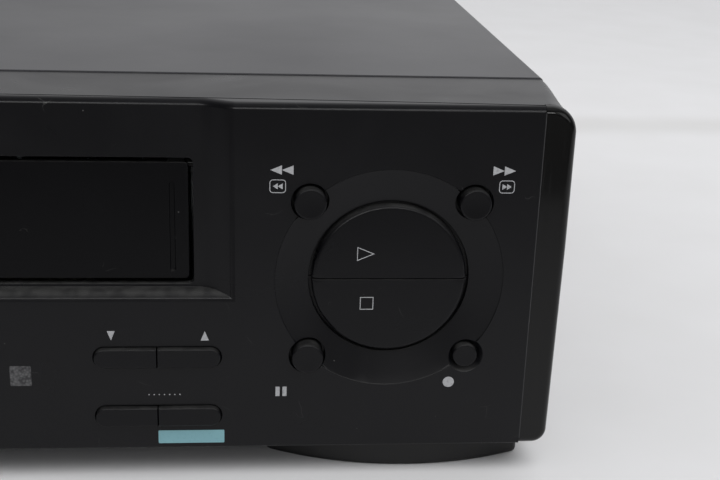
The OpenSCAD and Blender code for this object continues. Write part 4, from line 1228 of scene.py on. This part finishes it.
@dataclass
class TapeDeck(Subassembly):
    """The cassette door and everything that moves the tape."""

    rounded: dict[str, tuple[Look, float]] = field(
        default_factory=lambda: {
            "cassette_door": (Look.DOOR, 0.16),
            "door_spring": (Look.TIN, 0.1),
            "cassette_holder": (Look.ZINC, 0.2),
            "loading_slider": (Look.ZINC, 0.2),
            "carriage_side_left": (Look.ZINC, 0.15),
            "carriage_side_right": (Look.ZINC, 0.15),
            "supply_reel": (Look.ACETAL_WHITE, 0.3),
            "take_up_reel": (Look.ACETAL_WHITE, 0.3),
            "upper_drum": (Look.TURNED, 0.3),
            "lower_drum": (Look.TURNED, 0.25),
            "pinch_roller": (Look.RUBBER, 0.3),
            "pinch_arm": (Look.ZINC, 0.2),
            "tape_guide_left": (Look.MACHINED, 0.2),
            "tape_guide_right": (Look.MACHINED, 0.2),
            "tape_heads": (Look.MACHINED, 0.3),
            "loading_motor": (Look.TIN, 0.6),
        }
    )
    dressed: dict[str, Look] = field(
        default_factory=lambda: {
            "deck_chassis": Look.ZINC,
            "capstan_housing": Look.MACHINED,
            "capstan_flywheel": Look.MACHINED,
            "centre_pulley": Look.ACETAL_BLACK,
            "drive_belt": Look.RUBBER,
            "idler_arm": Look.ACETAL_BLACK,
            "idler_wheel": Look.RUBBER,
            "motor_pinion": Look.ACETAL_WHITE,
            "cam_gear": Look.ACETAL_WHITE,
        }
    )


@dataclass
class Electronics(Subassembly):
    """Boards and the parts on them, which stay as the CAD has them."""

    dressed: dict[str, Look] = field(
        default_factory=lambda: {
            "display_tube": Look.TUBE,
            "front_board": Look.BOARD_FRONT,
            "tact_switches": Look.PART,
            "main_board": Look.BOARD,
            "board_parts": Look.PART,
            "power_board": Look.BOARD,
            "power_parts": Look.WOUND,
        }
    )


# Studio


@dataclass
class Studio:
    """Camera, lamps, pale floor and bright surroundings."""

    # where the camera stood, solved from the photograph's lines
    eye_mm: Triple = (112.83, -414.75, 156.42)
    yaw: float = -5.626
    pitch: float = 19.286
    roll: float = 2.016
    lens_mm: float = 60.18
    wall_y_mm: float = 225.0
    table_end_mm: float = -385.0
    # level of the room's light on matt surfaces, and of the backdrop in the picture
    room_light: float = 0.58
    backdrop: float = 0.78
    # what the lamps point at, in metres
    target: Triple = (0.05, -0.05, 0.05)

    def camera(self) -> None:
        """Place the camera by its right, down and forward directions, yaw first, then pitch, then roll."""
        angles = np.radians([self.yaw, self.pitch, self.roll])
        (cy, cp, cr), (sy, sp, sr) = np.cos(angles), np.sin(angles)
        base = np.array([[1, 0, 0], [0, 0, -1], [0, 1, 0]], float)
        turn = np.array([[cy, 0, sy], [0, 1, 0], [-sy, 0, cy]])
        nod = np.array([[1, 0, 0], [0, cp, -sp], [0, sp, cp]])
        lean = np.array([[cr, -sr, 0], [sr, cr, 0], [0, 0, 1]])
        right, down, forward = lean @ nod @ turn @ base
        axes = np.stack([right, -down, -forward], 1)
        data = bpy.data.cameras.new("camera")
        data.sensor_width = 36.0
        data.lens = self.lens_mm
        data.clip_start = 0.01
        camera = bpy.data.objects.new("camera", data)
        bpy.context.scene.collection.objects.link(camera)
        place = Matrix(axes.tolist()).to_4x4()
        place.translation = [v * MM for v in self.eye_mm]
        camera.matrix_world = place
        bpy.context.scene.camera = camera

    def lamp(
        self, name: str, at: Triple, size: Pair, power: float, mirrored: bool
    ) -> None:
        """A soft lamp that faces the object.

        Args:
            name: of the lamp.
            at: its place in metres.
            size: its width along the floor and its height, in metres.
            power: in watts.
            mirrored: whether it only shows in reflections; if not, it only lights matt surfaces.
        """
        data = bpy.data.lights.new(name, "AREA")
        data.shape = "RECTANGLE"
        data.size, data.size_y = size
        data.energy = power
        lamp = bpy.data.objects.new(name, data)
        lamp.visible_diffuse = not mirrored
        lamp.visible_glossy = mirrored
        bpy.context.scene.collection.objects.link(lamp)
        away = np.array(at) - np.array(self.target)
        away /= np.linalg.norm(away)
        side = np.cross([0.0, 0.0, 1.0], away)
        side /= np.linalg.norm(side)
        place = Matrix(np.stack([side, np.cross(away, side), away], 1).tolist()).to_4x4()
        place.translation = at
        lamp.matrix_world = place

    def floor(self) -> None:
        """A pale table with a painted shade line where it would meet the wall, and painted light that
        brightens it towards the back.
        """
        half = 2.5
        points = [[-half, -half, 0], [half, -half, 0], [half, half, 0], [-half, half, 0]]
        mesh = bpy.data.meshes.new("table")
        mesh.from_pydata(points, [], [[0, 1, 2, 3]])
        table = bpy.data.objects.new("table", mesh)
        bpy.context.scene.collection.objects.link(table)
        material, tree = new_material("painted_table")
        net = Net(tree)
        place = net.place()
        depth = net.axis(place, 1)
        wall = self.wall_y_mm * MM
        far = net.math("ABSOLUTE", net.math("SUBTRACT", depth, wall))
        # painted shade: a soft darker band along the line where the table would meet the wall; the noise
        # below adds a random mottle in the same colour
        line = net.ramp(far, 0.002, 0.03, 0.35, 0.0, interpolation_type="SMOOTHSTEP")
        soft = net.ramp(net.noise(place, 45, 5.0), 0.3, 0.7, 0.0, 0.12)
        colour = net.mix(net.math("ADD", line, soft), "e0e0e1", "c3c2bf")
        # painted light: the colour brightens towards the back, by up to a tenth at the wall line and past it
        paper = net.scaled(colour, net.ramp(depth, -0.1, wall, 1.0, 1.1))
        # in reflections the table dims towards the front and ends there, and the dim room shows past it
        end, face = self.table_end_mm * MM, FACE_Y * MM
        past = net.ramp(depth, end, end + 0.015, 1.0, 0.0)
        fade = net.ramp(depth, end, face, 0.6, 0.0)
        ray = add(tree, "ShaderNodeLightPath", {})
        ended = net.math("MULTIPLY", net.math("MAXIMUM", past, fade), ray.outputs["Is Glossy Ray"])
        shader = net.principled(net.mix(ended, paper, "4a4846"), Roughness=0.6)
        add(tree, "ShaderNodeOutputMaterial", {"Surface": shader})
        mesh.materials.append(material)
        table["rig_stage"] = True

    def surroundings(self) -> None:
        """A white room that is bright behind and above the object and dim in front of it.

        In reflections its level rises from 0.09 to 0.56 as the direction turns to the rear. That is
        multiplied by up to 1.7 as it turns upwards, straight above it is at least 0.45, and from left
        to right it is multiplied by 0.82 to 1.25.
        """
        world = bpy.data.worlds.new("room")
        world.use_nodes = True
        tree = world.node_tree
        tree.nodes.clear()
        net = Net(tree)
        way = add(tree, "ShaderNodeTexCoord", {}).outputs["Generated"]
        across, back, up = (net.axis(way, index) for index in range(3))
        soft = {"interpolation_type": "SMOOTHSTEP"}
        wall = net.ramp(back, -0.05, 0.3, 0.09, 0.56, **soft)
        above = net.ramp(up, 0.45, 0.75, 1.0, 1.7, **soft)
        overhead = net.ramp(up, 0.55, 0.95, 0.0, 0.45, **soft)
        room = net.math("MAXIMUM", net.math("MULTIPLY", wall, above), overhead)
        mirrored = net.math("MULTIPLY", room, net.ramp(across, -0.4, 0.15, 0.82, 1.25))
        ray = add(tree, "ShaderNodeLightPath", {}).outputs
        plain = add(tree, "ShaderNodeMix", {0: ray["Is Glossy Ray"], 2: self.room_light, 3: mirrored})
        inputs = {0: ray["Is Camera Ray"], 2: plain.outputs[0], 3: self.backdrop}
        level = add(tree, "ShaderNodeMix", inputs).outputs[0]
        light = add(tree, "ShaderNodeBackground", {"Color": linear("fdfdff"), "Strength": level})
        add(tree, "ShaderNodeOutputWorld", {"Surface": light.outputs[0]})
        bpy.context.scene.world = world

    def build(self) -> None:
        """Set up camera, lamps, table and room."""
        self.camera()
        self.lamp("ceiling", (0.65, -0.75, 1.5), (1.3, 1.3), 18.5, mirrored=False)
        self.lamp("front", (-0.1, -2.0, 0.85), (2.0, 0.3), 15.0, mirrored=True)
        self.lamp("window", (1.6, -1.5, 0.9), (1.2, 1.0), 5.0, mirrored=True)
        self.floor()
        self.surroundings()
        bpy.context.scene.view_settings.view_transform = "Standard"


def corners() -> list[list[float]]:
    """Return the lowest and highest corners of what is there, as plain lists."""
    return [[float(v) for v in corner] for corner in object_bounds()]


def main() -> None:
    """Build the recorder's looks in order and log how many pieces were made."""
    logging.basicConfig(level=logging.INFO, format="%(name)s: %(message)s")
    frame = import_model()
    shop = Workshop(frame)
    for group in (Cabinet, FrontMoulding, Keys, Sockets, TapeDeck, Electronics):
        group(shop).build()
    Studio().build()
    LOG.info("%d pieces", len(shop.pieces))


if __name__ == "__main__":
    main()
